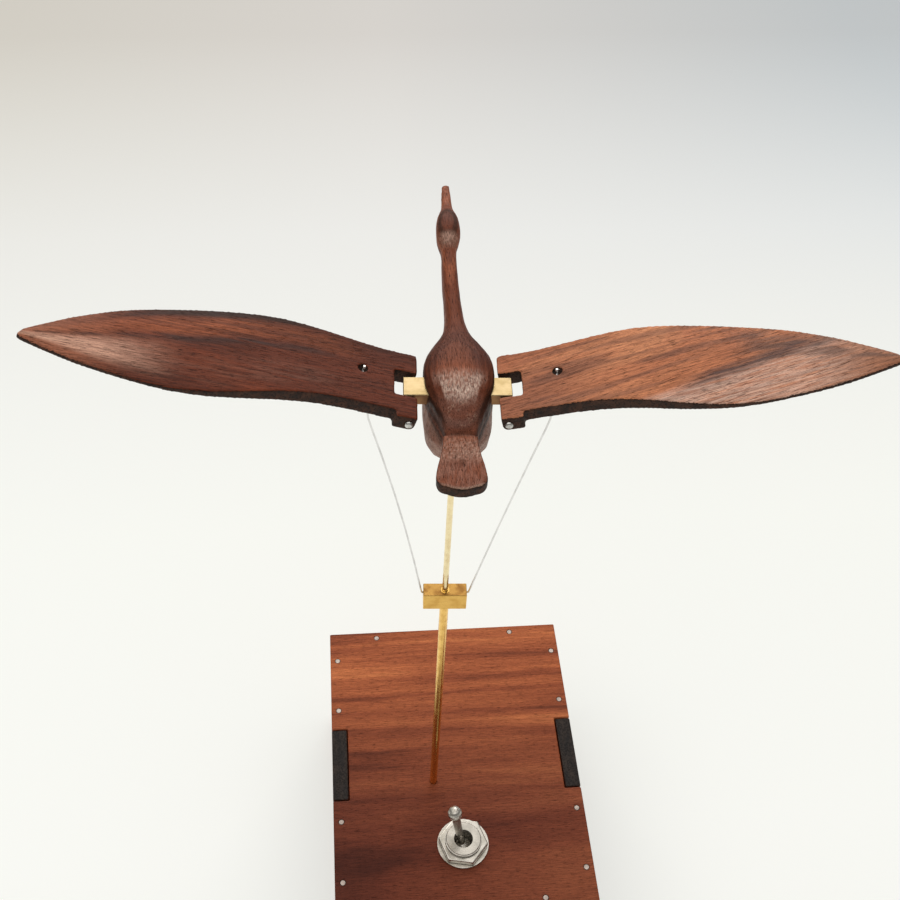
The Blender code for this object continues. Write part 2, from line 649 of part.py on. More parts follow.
def wing_section(out, growth):
    """Section of the blade: board at the root, then carved to a lens with thin square edges."""
    outer, outer_length = max(out - OUTER_START, 0.0), WING_TIP - OUTER_START
    drawn = out - outer + outer * outer_length / (outer_length + growth)
    front, rear = curve_value(LEADING_EDGE, drawn), curve_value(TRAILING_EDGE, drawn)
    into_corner = max(ROOT_CORNER - KNUCKLE_INNER - out, 0.0)
    front -= ROOT_CORNER - math.sqrt(max(ROOT_CORNER ** 2 - into_corner ** 2, 0.0))
    edge = mix(WING_THICKNESS, EDGE_THICKNESS, smooth_step(out, CARVE_START, CARVE_END)) / 2
    ridge = mix(WING_THICKNESS, RIDGE_THICKNESS, smooth_step(out, RIDGE_START, RIDGE_END)) / 2
    crown = min(ridge - edge, CROWN_SHARE * (front - rear))

    def skin(share, side):
        fall = 1 - share / WING_RIDGE if share < WING_RIDGE else (share - WING_RIDGE) / (1 - WING_RIDGE)
        return (out, mix(rear, front, share), WING_LEVEL + side * (edge + crown * (1 - fall * fall)))

    top = [skin(i / (WING_TOP_POINTS - 1), 1) for i in range(WING_TOP_POINTS)]
    under = [skin(i / (WING_UNDER_POINTS - 1), -1) for i in reversed(range(WING_UNDER_POINTS))]
    return top + under


def wing_places(growth):
    """Places of the blade's sections: close together round the root's corner and towards the tip."""
    quarter = math.pi / 2
    start = ROOT_CORNER - KNUCKLE_INNER
    corner = [start - ROOT_CORNER * math.cos(quarter * i / ROOT_RINGS) for i in range(ROOT_RINGS)]
    turns = [quarter * i / (WING_RINGS - 1) for i in range(WING_RINGS)]
    return corner + [mix(start, WING_TIP + growth, math.sin(turn) ** 1.2) for turn in turns]


def knuckle_outline():
    """Side view of the wing root, round about the pin at its lower inner corner."""
    under = WING_BOTTOM - KNUCKLE_DEPTH
    centre = (-KNUCKLE_INNER + KNUCKLE_ROUND, under + KNUCKLE_ROUND)
    corner = arc(centre, KNUCKLE_ROUND, 180, 270, 5)
    return corner + [(KNUCKLE_OUTER, under), (KNUCKLE_OUTER, WING_TOP), (-KNUCKLE_INNER, WING_TOP)]


def wire_hole_tool():
    """Round at the top of the wing and flared to a slot below, so that the wire can swing in it."""
    radius = WIRE_HOLE / 2
    levels = (
        (WING_TOP + BOARD, radius),
        (WIRE_TOP, radius),
        (WING_BOTTOM, WIRE_HOLE_FLARE),
        (WING_BOTTOM - BOARD, WIRE_HOLE_FLARE),
    )
    section = circle(radius, 0, 20)
    return loft([[(x / radius * reach, y, height) for x, y, _ in section] for height, reach in levels])


def make_wing(name, side, rise, growth, hole_out, wood, steel, lift):
    """Wing blade, its knuckle with the slot for the bar, and the hinge pin."""
    hinge_place = (side * HINGE_OFFSET, 0, HINGE_Z)
    hinge = place_empty(f"{name}_hinge", lift, hinge_place, (0, -side * rise, 0))
    mirror = Matrix.Diagonal((side, 1, 1, 1))

    def shape(label, bm, look=None):
        bm.transform(mirror)
        return place_mesh(label, bm, look, hinge)

    wing = shape(name, loft([wing_section(out, growth) for out in wing_places(growth)]), wood)
    knuckle = prism(knuckle_outline(), -KNUCKLE_REAR, KNUCKLE_FRONT - ROOT_CORNER, "Y")
    boolean(wing, soften(shape(f"{name}_knuckle", knuckle), EDGE_ROUND / 2, 1), "UNION")
    half_slot = BAR_WIDTH / 2 + SLOT_PLAY
    rear, front = -BAR_BACK - half_slot, -BAR_BACK + half_slot
    slot = box(-2 * KNUCKLE_INNER, SLOT_REACH, rear, front, -WING_THICKNESS, WING_THICKNESS)
    boolean(wing, shape(f"{name}_slot", slot))
    bore = HINGE_PIN / 2 + PIN_FIT
    pin_hole = turned([(bore, -2 * KNUCKLE_REAR), (bore, 2 * KNUCKLE_FRONT)], 16)
    pin_hole.transform(Matrix.Rotation(-math.pi / 2, 4, "X"))
    boolean(wing, shape(f"{name}_pin_hole", pin_hole))
    wire_hole = wire_hole_tool()
    wire_hole.transform(Matrix.Translation((hole_out, WIRE_HOLE_FORWARD, 0)))
    boolean(wing, shape(f"{name}_wire_hole", wire_hole))

    radius, head = HINGE_PIN / 2, HINGE_HEAD / 2
    seat = KNUCKLE_REAR + PIN_FIT
    dome = [(head * math.cos(a), seat + HINGE_HEAD_RISE * math.sin(a)) for a in (1.4, 0.9, 0.45, 0.0)]
    profile = [(r, -y) for r, y in dome] + [(radius, -seat), (radius, KNUCKLE_FRONT - PIN_FIT)]
    pin = turned(profile, 16)
    pin.transform(Matrix.Rotation(-math.pi / 2, 4, "X"))
    place_mesh(f"{name.split('_')[0]}_hinge_pin", pin, steel, hinge)


def make_wire(name, side, rise, hole_out, knee_in, bow, steel, turn):
    """Stiff wire from its bent foot in the block, bowed to a knee, then upright to its hook in the wing."""
    top_out = HINGE_OFFSET + hole_out * math.cos(rise) - WIRE_TOP * math.sin(rise)
    top_up = HINGE_Z + hole_out * math.sin(rise) + WIRE_TOP * math.cos(rise)
    top = Vector((side * (top_out - WIRE_SET_IN), WIRE_HOLE_FORWARD - WIRE_BACK, top_up))
    ahead = Vector((0, 1, 0))
    sideways = Vector((side, 0, 0))
    face = BLOCK_WIDTH / 2
    foot_z = BLOCK_TOP_Z - WIRE_FOOT_DROP
    inner = Vector((side * (face - WIRE_FOOT_DEPTH), 0, foot_z))
    bend = Vector((side * (face + WIRE_DIAMETER), 0, foot_z))
    knee = Vector((side * (top_out - knee_in), top.y, HINGE_Z - WIRE_KNEE_DROP))
    bowed = [bend.lerp(knee, share) - 4 * bow * share * (1 - share) * sideways for share in WIRE_STEPS]
    run, rise_line = (bowed[0] - bend).normalized(), (top - knee).normalized()
    small = WIRE_DIAMETER
    corner = WIRE_BEND_SHARE * small
    points = [inner, bend - small * sideways, bend + corner * (run - sideways), bend + small * run]
    points += bowed + [knee + small * rise_line, top - small * rise_line]
    points += [top + corner * (ahead - rise_line), top + WIRE_HOOK * ahead]
    curve = bpy.data.curves.new(name, "CURVE")
    curve.dimensions = "3D"
    curve.bevel_depth = WIRE_DIAMETER / 2
    curve.bevel_resolution = 2
    curve.use_fill_caps = True
    spline = curve.splines.new("POLY")
    spline.points.add(len(points) - 1)
    for point, place in zip(spline.points, points):
        point.co = (*place, 1.0)
    add_object(name, curve, turn, (0, 0, 0), (0, 0, 0), steel)


def follower_radius(angle):
    """Distance of the roller's centre from the cam's axis: it grows evenly over each half turn."""
    turned_back = abs((angle + math.pi) % math.tau - math.pi)
    return ROLLER_REACH + CAM_LIFT * turned_back / math.pi


def cam_radius(angle):
    """Edge of the cam: as far out as the roller leaves it in every position."""
    reach = ROLLER_DIAMETER / 2 + RUNNING_FIT
    span, steps = 0.75, 90
    least = follower_radius(angle)
    for i in range(-steps, steps + 1):
        off = span * i / steps
        centre = follower_radius(angle + off)
        miss = centre * math.sin(off)
        if abs(miss) < reach:
            least = min(least, centre * math.cos(off) - math.sqrt(reach * reach - miss * miss))
    return least


def make_cam(wood, steel, drive):
    """Heart cam on the motor's shaft, standing where the photographed lift needs it."""
    start = math.pi * LIFT_AT_REST / CAM_LIFT
    outline = []
    for i in range(CAM_POINTS):
        angle = math.tau * i / CAM_POINTS
        radius = cam_radius(angle)
        outline.append((radius * math.sin(angle - start), radius * math.cos(angle - start)))
    half = CAM_THICKNESS / 2
    cam = place_mesh("heart_cam", prism(outline, -half, half, "Y"), wood, drive)
    bore = SHAFT_DIAMETER / 2 + PIN_FIT
    flat = SHAFT_DIAMETER / 2 - SHAFT_FLAT
    hole = prism(d_outline(bore, flat + PIN_FIT), -CAM_THICKNESS, CAM_THICKNESS, "Y")
    boolean(cam, place_mesh("cam_bore", hole, None, drive))
    ends = (-half - CLEVIS_SIDE_GAP, GEARBOX_FACE - ROD_Y - SEAT_GAP)
    place_mesh("output_shaft", prism(d_outline(SHAFT_DIAMETER / 2, flat), *ends, "Y"), steel, drive)


def d_outline(radius, flat):
    """Round shaft outline with one flat."""
    cut = math.degrees(math.acos(flat / radius))
    return arc((0, 0), radius, 90 + cut, 450 - cut, 16)


def make_follower(brass, steel, lift):
    """Clevis at the rod's foot. Its cheeks run beside the cam, so that the bird can't turn."""
    half_width, half_length, half_gap = CLEVIS_WIDTH / 2, CLEVIS_LENGTH / 2, CLEVIS_GAP / 2
    low, roof = ROLLER_Z - CLEVIS_DROP, CLEVIS_TOP - CLEVIS_BRIDGE
    outline = [(-half_length, low), (-half_gap, low), (-half_gap, roof), (half_gap, roof), (half_gap, low)]
    outline += [(half_length, low), (half_length, CLEVIS_TOP), (-half_length, CLEVIS_TOP)]
    clevis = place_mesh("follower_clevis", prism(outline, -half_width, half_width, "X"), brass, lift)
    soften(clevis, EDGE_ROUND / 2, 1)
    rod_hole = ROD_DIAMETER + 2 * PIN_FIT
    drill(clevis, "clevis_rod_hole", [(0, 0)], rod_hole, roof - SEAT_GAP, CLEVIS_TOP + BOARD)
    pin_hole = ROLLER_PIN / 2 + PIN_FIT
    hole = turned([(pin_hole, -CLEVIS_LENGTH), (pin_hole, CLEVIS_LENGTH)], 16)
    boolean(clevis, place_mesh("clevis_pin_hole", hole, None, lift, (0, 0, ROLLER_Z), (math.pi / 2, 0, 0)))
    profile = rod_profile(ROLLER_PIN / 2, -half_length, half_length, ROLLER_PIN / 10)
    place_mesh("roller_pin", turned(profile, 16), steel, lift, (0, 0, ROLLER_Z), (math.pi / 2, 0, 0))
    axle = place_empty("roller_axle", lift, (0, 0, ROLLER_Z), (math.pi / 2, 0, 0))
    rim, bore, half = ROLLER_DIAMETER / 2, ROLLER_PIN / 2 + RUNNING_FIT, ROLLER_WIDTH / 2
    chamfer = EDGE_ROUND / 2
    profile = [(bore, -half), (rim - chamfer, -half), (rim, -half + chamfer), (rim, half - chamfer)]
    profile += [(rim - chamfer, half), (bore, half)]
    place_mesh("follower_roller", turned(profile, 24, hollow=True), brass, axle)


def rounded_bar(width, height, radius, steps=4):
    """Rectangle with rounded corners."""
    x, y = width / 2 - radius, height / 2 - radius
    points = arc((x, y), radius, 0, 90, steps) + arc((-x, y), radius, 90, 180, steps)
    return points + arc((-x, -y), radius, 180, 270, steps) + arc((x, -y), radius, 270, 360, steps)


def make_motor(looks):
    """Small gear motor held on a wooden block by a steel strap."""
    axis = (ROD_X, 0, CAM_Z)
    front = GEARBOX_FACE
    back = front + GEARBOX_LENGTH
    gearbox = prism(rounded_bar(GEARBOX_WIDTH, GEARBOX_HEIGHT, EDGE_ROUND, 2), front, back, "Y")
    gearbox = place_mesh("gearbox", gearbox, looks["brass"], None, axis)
    bore = SHAFT_DIAMETER / 2 + RUNNING_FIT
    bearing = turned([(bore, -GEARBOX_LENGTH / 3), (bore, GEARBOX_LENGTH)], 20)
    face = (ROD_X, front, CAM_Z)
    boolean(gearbox, place_mesh("gearbox_bearing", bearing, None, None, face, (math.pi / 2, 0, 0)))
    can = rounded_bar(GEARBOX_WIDTH, GEARBOX_HEIGHT, MOTOR_ROUND, 6)
    can = prism(can, back + SEAT_GAP, back + SEAT_GAP + MOTOR_LENGTH, "Y")
    place_mesh("motor_can", can, looks["steel"], None, axis)
    cap_start = back + 2 * SEAT_GAP + MOTOR_LENGTH
    cap_size = (GEARBOX_WIDTH - 2 * EDGE_ROUND, GEARBOX_HEIGHT - 2 * EDGE_ROUND)
    cap = prism(rounded_bar(*cap_size, MOTOR_ROUND - EDGE_ROUND, 6), cap_start, MOTOR_END, "Y")
    cap = place_mesh("motor_end_cap", cap, looks["plastic"], None, axis)
    for side in (-1, 1):
        x = side * MOTOR_TAG_SPACING / 2
        half, thin = MOTOR_TAG_WIDTH / 2, MOTOR_TAG_THICKNESS / 2
        tag = box(x - half, x + half, MOTOR_END - MOTOR_CAP / 2, MOTOR_END + MOTOR_TAG_REACH, -thin, thin)
        boolean(cap, place_mesh(f"motor_tag_{side}", tag, None, None, axis), "UNION")

    mount_top = CAM_Z - GEARBOX_HEIGHT / 2 - SEAT_GAP
    start = front + SEAT_GAP
    half = MOUNT_WIDTH / 2
    mount = box(-half, half, start, start + MOUNT_LENGTH, BOARD + SEAT_GAP, mount_top)
    mount = soften(place_mesh("motor_mount", mount, looks["box_wood"], None, (ROD_X, 0, 0)))
    strap_y = front + GEARBOX_LENGTH / 2
    screws = [(ROD_X + side * STRAP_SCREW_OFFSET, strap_y) for side in (-1, 1)]
    hole_floor = mount_top - STRAP_SCREW_LENGTH - SEAT_GAP
    drill(mount, "mount_screw_holes", screws, SCREW_DIAMETER + 2 * PIN_FIT, hole_floor, mount_top + BOARD, 12)

    inner, outer = GEARBOX_WIDTH / 2 + SEAT_GAP, GEARBOX_WIDTH / 2 + SEAT_GAP + STRAP_THICKNESS
    roof = CAM_Z + GEARBOX_HEIGHT / 2 + SEAT_GAP
    foot = mount_top + SEAT_GAP
    reach = half - EDGE_ROUND
    right = [(inner, foot), (reach, foot), (reach, foot + STRAP_THICKNESS), (outer, foot + STRAP_THICKNESS)]
    right += [(outer, roof + STRAP_THICKNESS)]
    outline = right + [(-x, z) for x, z in reversed(right)] + [(-inner, roof), (inner, roof)]
    edges = (strap_y - STRAP_WIDTH / 2, strap_y + STRAP_WIDTH / 2)
    strap = place_mesh("motor_strap", prism(outline, *edges, "Y"), looks["steel"], None, (ROD_X, 0, 0))
    drill(strap, "strap_holes", screws, SCREW_DIAMETER + 2 * PIN_FIT, foot - BOARD, CAM_Z, 12)
    head, shank = STRAP_SCREW_HEAD / 2, SCREW_DIAMETER / 2
    seat = foot + STRAP_THICKNESS + PIN_FIT
    profile = [(shank / 4, mount_top - STRAP_SCREW_LENGTH), (shank, mount_top - STRAP_SCREW_LENGTH + shank)]
    profile += [(shank, seat), (head, seat), (head, seat + STRAP_SCREW_HEAD_HEIGHT / 2)]
    profile += [(head * 0.7, seat + STRAP_SCREW_HEAD_HEIGHT)]
    for number, (x, y) in enumerate(screws, 1):
        place_mesh(f"strap_screw_{number}", turned(profile, 12), looks["steel"], None, (x, y, 0))


def make_switch(looks):
    """Full-size toggle switch: nut, washer, threaded bushing, case, two tags and the lever."""
    axis = place_empty("switch_axis", None, (SWITCH_X, SWITCH_Y, 0), (0, 0, SWITCH_TURN))
    radius = BUSHING_DIAMETER / 2
    washer = [(radius + PIN_FIT, 0), (WASHER_DIAMETER / 2, 0)]
    washer += [(WASHER_DIAMETER / 2, WASHER_THICKNESS), (radius + PIN_FIT, WASHER_THICKNESS)]
    washer = turned(washer, 32, hollow=True)
    place_mesh("switch_washer", washer, looks["nickel"], axis, (0, 0, BOX_HEIGHT + PIN_FIT))
    corners = NUT_FLATS / math.sqrt(3)
    nut = loft([circle(corners, NUT_BOTTOM, 6), circle(corners, NUT_BOTTOM + NUT_HEIGHT, 6)])
    nut = soften(place_mesh("switch_nut", nut, looks["nickel"], axis), EDGE_ROUND, 2)
    drill(nut, "nut_bore", [(0, 0)], BUSHING_DIAMETER + 2 * PIN_FIT, INNER_TOP, BUSHING_TOP + BOARD, 32)

    plate_low = INNER_TOP - SEAT_GAP - CASE_PLATE
    half_length, half_width = CASE_LENGTH / 2, CASE_WIDTH / 2
    frame = box(-half_width, half_width, -half_length, half_length, plate_low, plate_low + CASE_PLATE)
    frame = place_mesh("switch_frame", frame, looks["nickel"], axis)
    profile = rod_profile(radius, plate_low + CASE_PLATE / 2, BUSHING_TOP, EDGE_ROUND)
    boolean(frame, place_mesh("bushing_blank", turned(profile, 32), None, axis), "UNION")
    well = [(BUSHING_BORE / 2, plate_low + CASE_PLATE * 1.5), (BUSHING_BORE / 2, BUSHING_TOP + BOARD)]
    boolean(frame, place_mesh("bushing_well", turned(well, 24), None, axis))

    case = box(-half_width, half_width, -half_length, half_length, CASE_BOTTOM, plate_low - PIN_FIT)
    case = soften(place_mesh("switch_case", case, looks["plastic"], axis), EDGE_ROUND, 2)
    for number, side in enumerate((-1, 1), 1):
        y = side * TERMINAL_SPACING / 2
        half, thin = TERMINAL_WIDTH / 2, TERMINAL_THICKNESS / 2
        low = CASE_BOTTOM - TERMINAL_LENGTH
        tag = box(-half, half, y - thin, y + thin, low, CASE_BOTTOM - PIN_FIT)
        place_mesh(f"switch_tag_{number}", tag, looks["brass"], axis)

    pivot = place_empty("switch_pivot", axis, (0, 0, BOX_HEIGHT - LEVER_PIVOT_DEPTH), (-LEVER_TILT, 0, 0))
    seat, waist, neck, ball = BUSHING_BORE / 2 - LEVER_PLAY, LEVER_WAIST / 2, LEVER_NECK / 2, LEVER_BALL / 2
    seat_join, ball_join = math.degrees(math.acos(waist / seat)), math.degrees(math.acos(neck / ball))
    profile = arc((0, 0), seat, -82, seat_join, 7) + arc((0, LEVER_LENGTH), ball, -ball_join, 84, 8)
    place_mesh("switch_lever", turned(profile, 20), looks["nickel"], pivot)


def make_battery(looks):
    """Open holder with two cells side by side, lying on the bottom board."""
    pitch = CELL_DIAMETER + CELL_GAP
    low = BOARD + SEAT_GAP
    x, y = HOLDER_ROOM_X / 2, HOLDER_ROOM_Y / 2
    wide, long = x + HOLDER_WALL, y + HOLDER_WALL
    tray = box(-wide, wide, -long, long, low, low + HOLDER_HEIGHT)
    tray = place_mesh("battery_holder", tray, looks["plastic"], None, (HOLDER_X, HOLDER_Y, 0))
    room = box(-x, x, -y, y, low + HOLDER_WALL, low + 2 * HOLDER_HEIGHT)
    boolean(tray, place_mesh("battery_room", room, None, None, (HOLDER_X, HOLDER_Y, 0)))
    height = low + HOLDER_WALL + SEAT_GAP + CELL_DIAMETER / 2
    radius, button, half = CELL_DIAMETER / 2, CELL_BUTTON / 2, CELL_LENGTH / 2
    profile = [(radius * 0.9, -half), (radius, -half + EDGE_ROUND), (radius, half - EDGE_ROUND)]
    profile += [(radius * 0.9, half), (button, half), (button, half + CELL_BUTTON_RISE)]
    for number, side in enumerate((-1, 1), 1):
        place = (HOLDER_X + side * pitch / 2, HOLDER_Y, height)
        turn = (side * math.pi / 2, 0, 0)
        place_mesh(f"battery_{number}", turned(profile, 20), looks["cell"], None, place, turn)


def make_lead(name, points, look):
    """Thin insulated lead along a smooth curve through its route's points."""
    curve = bpy.data.curves.new(name, "CURVE")
    curve.dimensions = "3D"
    curve.bevel_depth = LEAD_DIAMETER / 2
    curve.bevel_resolution = 1
    curve.use_fill_caps = True
    spline = curve.splines.new("POLY")
    padded = [2 * points[0] - points[1], *points, 2 * points[-1] - points[-2]]
    steps, places = 5, []
    for a, b, c, d in zip(padded, padded[1:], padded[2:], padded[3:]):
        for i in range(steps):
            t = i / steps
            bend, twist = 2 * a - 5 * b + 4 * c - d, 3 * b - a - 3 * c + d
            places.append(0.5 * (2 * b + (c - a) * t + bend * t * t + twist * t ** 3))
    places.append(points[-1])
    spline.points.add(len(places) - 1)
    for point, place in zip(spline.points, places):
        point.co = (*place, 1.0)
    add_object(name, curve, None, (0, 0, 0), (0, 0, 0), look)


def make_leads(looks):
    """Cell to switch, switch to motor and motor to cell. Each ends square to a tag or a holder wall."""
    clear = LEAD_DIAMETER / 2 + LEAD_CLEARANCE
    floor = BOARD + clear
    back, up = Vector((0, LEAD_START, 0)), Vector((0, 0, LEAD_START))
    along = Vector((-math.sin(SWITCH_TURN), math.cos(SWITCH_TURN), 0))
    switch = Vector((SWITCH_X, SWITCH_Y, CASE_BOTTOM - TERMINAL_LENGTH - SEAT_GAP))
    near_tag, far_tag = switch - TERMINAL_SPACING / 2 * along, switch + TERMINAL_SPACING / 2 * along
    holder_end = HOLDER_Y - HOLDER_ROOM_Y / 2 - HOLDER_WALL - SEAT_GAP
    cell_1 = Vector((HOLDER_X - CELL_DIAMETER / 2, holder_end, floor))
    cell_2 = Vector((HOLDER_X + CELL_DIAMETER / 2, holder_end, floor))
    motor_back = MOTOR_END + MOTOR_TAG_REACH + SEAT_GAP
    motor_1 = Vector((ROD_X - MOTOR_TAG_SPACING / 2, motor_back, CAM_Z))
    motor_2 = Vector((ROD_X + MOTOR_TAG_SPACING / 2, motor_back, CAM_Z))

    swing = Vector((mix(cell_2.x, near_tag.x, 0.35), near_tag.y - LEAD_SWING, LEAD_HEIGHT))
    make_lead("lead_cell_to_switch", [cell_2, cell_2 - back, swing, near_tag - up, near_tag], looks["red"])
    wall, side_lane = 2 * clear - INNER_WIDTH / 2, LEAD_SIDE_SPACE - INNER_WIDTH / 2
    route = [far_tag, far_tag - up, Vector((side_lane, mix(far_tag.y, motor_back, 0.3), LEAD_HEIGHT))]
    route += [Vector((wall, mix(far_tag.y, motor_back, 0.75), floor))]
    route += [Vector((side_lane, motor_back + LEAD_START, LEAD_HEIGHT)), motor_1 + back, motor_1]
    make_lead("lead_switch_to_motor", route, looks["red"])
    lane = HOLDER_X - CELL_DIAMETER - 1.5 * CELL_GAP - HOLDER_WALL - 1.5 * clear
    route = [motor_2, motor_2 + back, Vector((lane, motor_back, LEAD_HEIGHT)), Vector((lane, 0, floor))]
    route += [Vector((lane, holder_end - LEAD_START, floor)), cell_1 - 1.5 * back, cell_1]
    make_lead("lead_motor_to_cell", route, looks["black"])


def build():
    for obj in list(bpy.data.objects):
        bpy.data.objects.remove(obj)
    looks = {
        "box_wood": material("box_wood", (0.16, 0.052, 0.028), 0.45),
        "side_wood": material("side_wood", (0.045, 0.026, 0.018), 0.5),
        "bird_wood": material("bird_wood", (0.085, 0.028, 0.018), 0.45),
        "wing_wood": material("wing_wood", (0.15, 0.052, 0.03), 0.5),
        "brass": material("brass", (0.66, 0.42, 0.13), 0.3, 1.0),
        "steel": material("steel", (0.55, 0.54, 0.52), 0.35, 1.0),
        "nickel": material("nickel", (0.72, 0.7, 0.66), 0.22, 1.0),
        "plastic": material("plastic", (0.02, 0.02, 0.02), 0.5),
        "cell": material("cell", (0.25, 0.27, 0.3), 0.35, 0.6),
        "red": material("red_insulation", (0.5, 0.03, 0.02), 0.5),
        "black": material("black_insulation", (0.02, 0.02, 0.02), 0.5),
    }
    make_top_plate(looks["box_wood"])
    make_bottom_plate(looks["box_wood"])
    make_side_panel("left_side_panel", -1, looks["side_wood"])
    make_side_panel("right_side_panel", 1, looks["side_wood"])
    make_end_panel("switch_end_panel", -1, looks["box_wood"])
    make_end_panel("head_end_panel", 1, looks["box_wood"])
    make_top_pins(looks["steel"])
    make_bottom_screws(looks["steel"])
    turn = place_empty("bird_heading", None, (ROD_X, ROD_Y, 0), (0, 0, BIRD_TURN))
    lift = place_empty("bird_lift", turn)
    make_guide(looks["brass"], turn)
    make_bird(looks["bird_wood"], looks["brass"], looks["steel"], lift)
    left = ("left_wing", -1, WING_RISE_LEFT, 0.0, WIRE_HOLE_OUT_LEFT, WIRE_KNEE_IN_LEFT, WIRE_BOW_LEFT)
    right = ("right_wing", 1, WING_RISE_RIGHT, WING_GROWTH_RIGHT)
    right += (WIRE_HOLE_OUT_RIGHT, WIRE_KNEE_IN_RIGHT, WIRE_BOW_RIGHT)
    for name, side, rise, growth, hole_out, knee_in, bow in (left, right):
        make_wing(name, side, rise, growth, hole_out, looks["wing_wood"], looks["steel"], lift)
        make_wire(f"{name}_wire", side, rise, hole_out, knee_in, bow, looks["steel"], turn)
    rod_foot = place_empty("rod_foot", None, (ROD_X, ROD_Y, 0))
    make_follower(looks["brass"], looks["steel"], rod_foot)
    drive = place_empty("cam_drive", None, (ROD_X, ROD_Y, CAM_Z))
    make_cam(looks["box_wood"], looks["steel"], drive)
    make_motor(looks)
    make_switch(looks)
    make_battery(looks)
    make_leads(looks)


build()
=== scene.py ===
"""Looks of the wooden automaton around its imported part: finishes, fine surfaces, floor, light and camera.

Metres, in the part's own frame: +Z up, the origin under the middle of the box, the bird flies towards +Y.
Places on the bird's body and wings are in millimetres, in the axes of that piece.
"""

import json
import math

import bpy
from mathutils import Matrix, Vector, noise


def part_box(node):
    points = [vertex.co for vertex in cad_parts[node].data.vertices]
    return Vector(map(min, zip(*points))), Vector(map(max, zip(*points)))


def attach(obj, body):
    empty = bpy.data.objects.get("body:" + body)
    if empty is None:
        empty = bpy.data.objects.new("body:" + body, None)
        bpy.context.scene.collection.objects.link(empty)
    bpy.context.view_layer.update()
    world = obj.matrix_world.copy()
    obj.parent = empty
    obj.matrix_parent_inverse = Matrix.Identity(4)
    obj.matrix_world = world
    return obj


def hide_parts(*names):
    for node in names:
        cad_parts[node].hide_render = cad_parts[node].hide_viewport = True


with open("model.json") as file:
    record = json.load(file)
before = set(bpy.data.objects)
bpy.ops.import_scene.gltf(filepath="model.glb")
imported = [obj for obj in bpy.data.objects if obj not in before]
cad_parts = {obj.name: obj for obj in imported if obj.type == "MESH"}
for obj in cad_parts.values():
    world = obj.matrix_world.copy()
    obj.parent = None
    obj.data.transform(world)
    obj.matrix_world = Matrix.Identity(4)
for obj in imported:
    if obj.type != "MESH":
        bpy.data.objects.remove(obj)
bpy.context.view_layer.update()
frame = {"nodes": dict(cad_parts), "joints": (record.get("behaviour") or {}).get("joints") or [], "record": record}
nodes = frame["nodes"]

MM = 0.001

# Camera, fitted to the photo
LENS = 48.0
SENSOR = 36.0
CAMERA_PLACE = Vector((-0.0330, -0.1985, 0.4348))
CAMERA_YAW = 0.126
CAMERA_PITCH = 0.830
CAMERA_ROLL = -0.058

# The body's axes, X to its right and Y ahead, from the middle between the hinges of its wings
hinges = {joint["name"]: Vector(joint["pos_m"]) for joint in frame["joints"] if "pos_m" in joint}
hinge_line = hinges["right_wing_flap"] - hinges["left_wing_flap"]
hinge_middle = (hinges["right_wing_flap"] + hinges["left_wing_flap"]) / 2
body_turn = Matrix.Rotation(math.atan2(hinge_line.y, hinge_line.x), 4, "Z")
BODY_AXES = Matrix.Translation(hinge_middle) @ body_turn
HINGE_OFFSET = hinge_line.length / 2
# How far each wing stands up from level
LEFT_RISE = math.radians(16.5)
RIGHT_RISE = math.radians(12.5)

# Turns that lay a texture's X along an axis of the piece
QUARTER = math.pi / 2
ALONG_X = (0, 0, 0)
ALONG_Y = (0, 0, -QUARTER)
ALONG_Z = (0, QUARTER, 0)
# Turn of the slanting saw marks on the wire block
SAW_TURN = (0, 0, 0.9)

# Wood textures: waves per mm along the grain and across it
DRIFT_SCALE = (0.012, 0.05, 0.05)
FIBRE_SCALE = (0.12, 4.0, 4.0)
PORE_SCALE = (0.45, 6.0, 6.0)
PORE_OFFSET = (7, 3, 1)
SPECKLE_SCALE = 3.0
RING_CHANGE_ALONG = 0.006

# Places in a noise texture's range from 0 to 1: where the tones begin, how much of it they take up, and
# from where to where pores open
TONE_START = 0.32
TONE_SPAN = 0.36
PORE_OPENS = (0.58, 0.68)
# Two places in that range and what is reached at each: a zone's strength, and how much fibres darken
ZONE_BY_BAND = (0.3, 0.62, 1.25, 0.55)
FIBRE_DARKENS = (0.3, 0.7, 0.0, 0.45)
SPECKLE_GREYS = ((0.3, (0.35, 0.35, 0.35)), (0.7, (0.75, 0.75, 0.75)))
SPECKLE_SHARE = 0.35

# Surface of wood along the grain and of cross-cut wood
WOOD_ROUGHNESS = 0.42
WOOD_SHINE = 0.10
END_ROUGHNESS = 0.6
END_SHINE = 0.2

# Depths of fine surface relief in mm
WOOD_RELIEF = 0.035
END_RELIEF = 0.08
METAL_RELIEF = 0.006
PLASTIC_RELIEF = 0.015

# Pitch of the switch's thread in mm
THREAD_PITCH = 0.75

# Wood tones, from the darkest band to the lightest streak
RED_TONES = ((0.11, 0.026, 0.012), (0.35, 0.088, 0.034), (0.51, 0.142, 0.052), (0.72, 0.23, 0.080))
DARK_TONES = ((0.018, 0.007, 0.004), (0.060, 0.015, 0.007), (0.095, 0.024, 0.010), (0.16, 0.042, 0.016))
BODY_TONES = ((0.060, 0.018, 0.008), (0.145, 0.036, 0.016), (0.21, 0.056, 0.025), (0.31, 0.090, 0.040))
LEFT_TONES = ((0.050, 0.012, 0.005), (0.105, 0.022, 0.009), (0.155, 0.033, 0.013), (0.27, 0.062, 0.024))
RIGHT_TONES = ((0.16, 0.060, 0.034), (0.40, 0.125, 0.055), (0.54, 0.19, 0.085), (0.68, 0.28, 0.13))
# Very dark tones of cut wood on the tail and the wings' edges: partly the cut wood's own tone, partly painted
# shade on faces turned to the camera or downwards
CUT_AND_SHADE_TONES = ((0.022, 0.009, 0.005), (0.075, 0.032, 0.019))
TENON_TONES = ((0.010, 0.007, 0.006), (0.034, 0.024, 0.019))

# Painted shade, partly the wood's own tone: the box darkens towards its switch end, away from the light beyond.
# Two places across the grain in mm, and the tint at the first
BOX_SHADE_FADE = (-20.0, 42.0, (0.43, 0.38, 0.46))

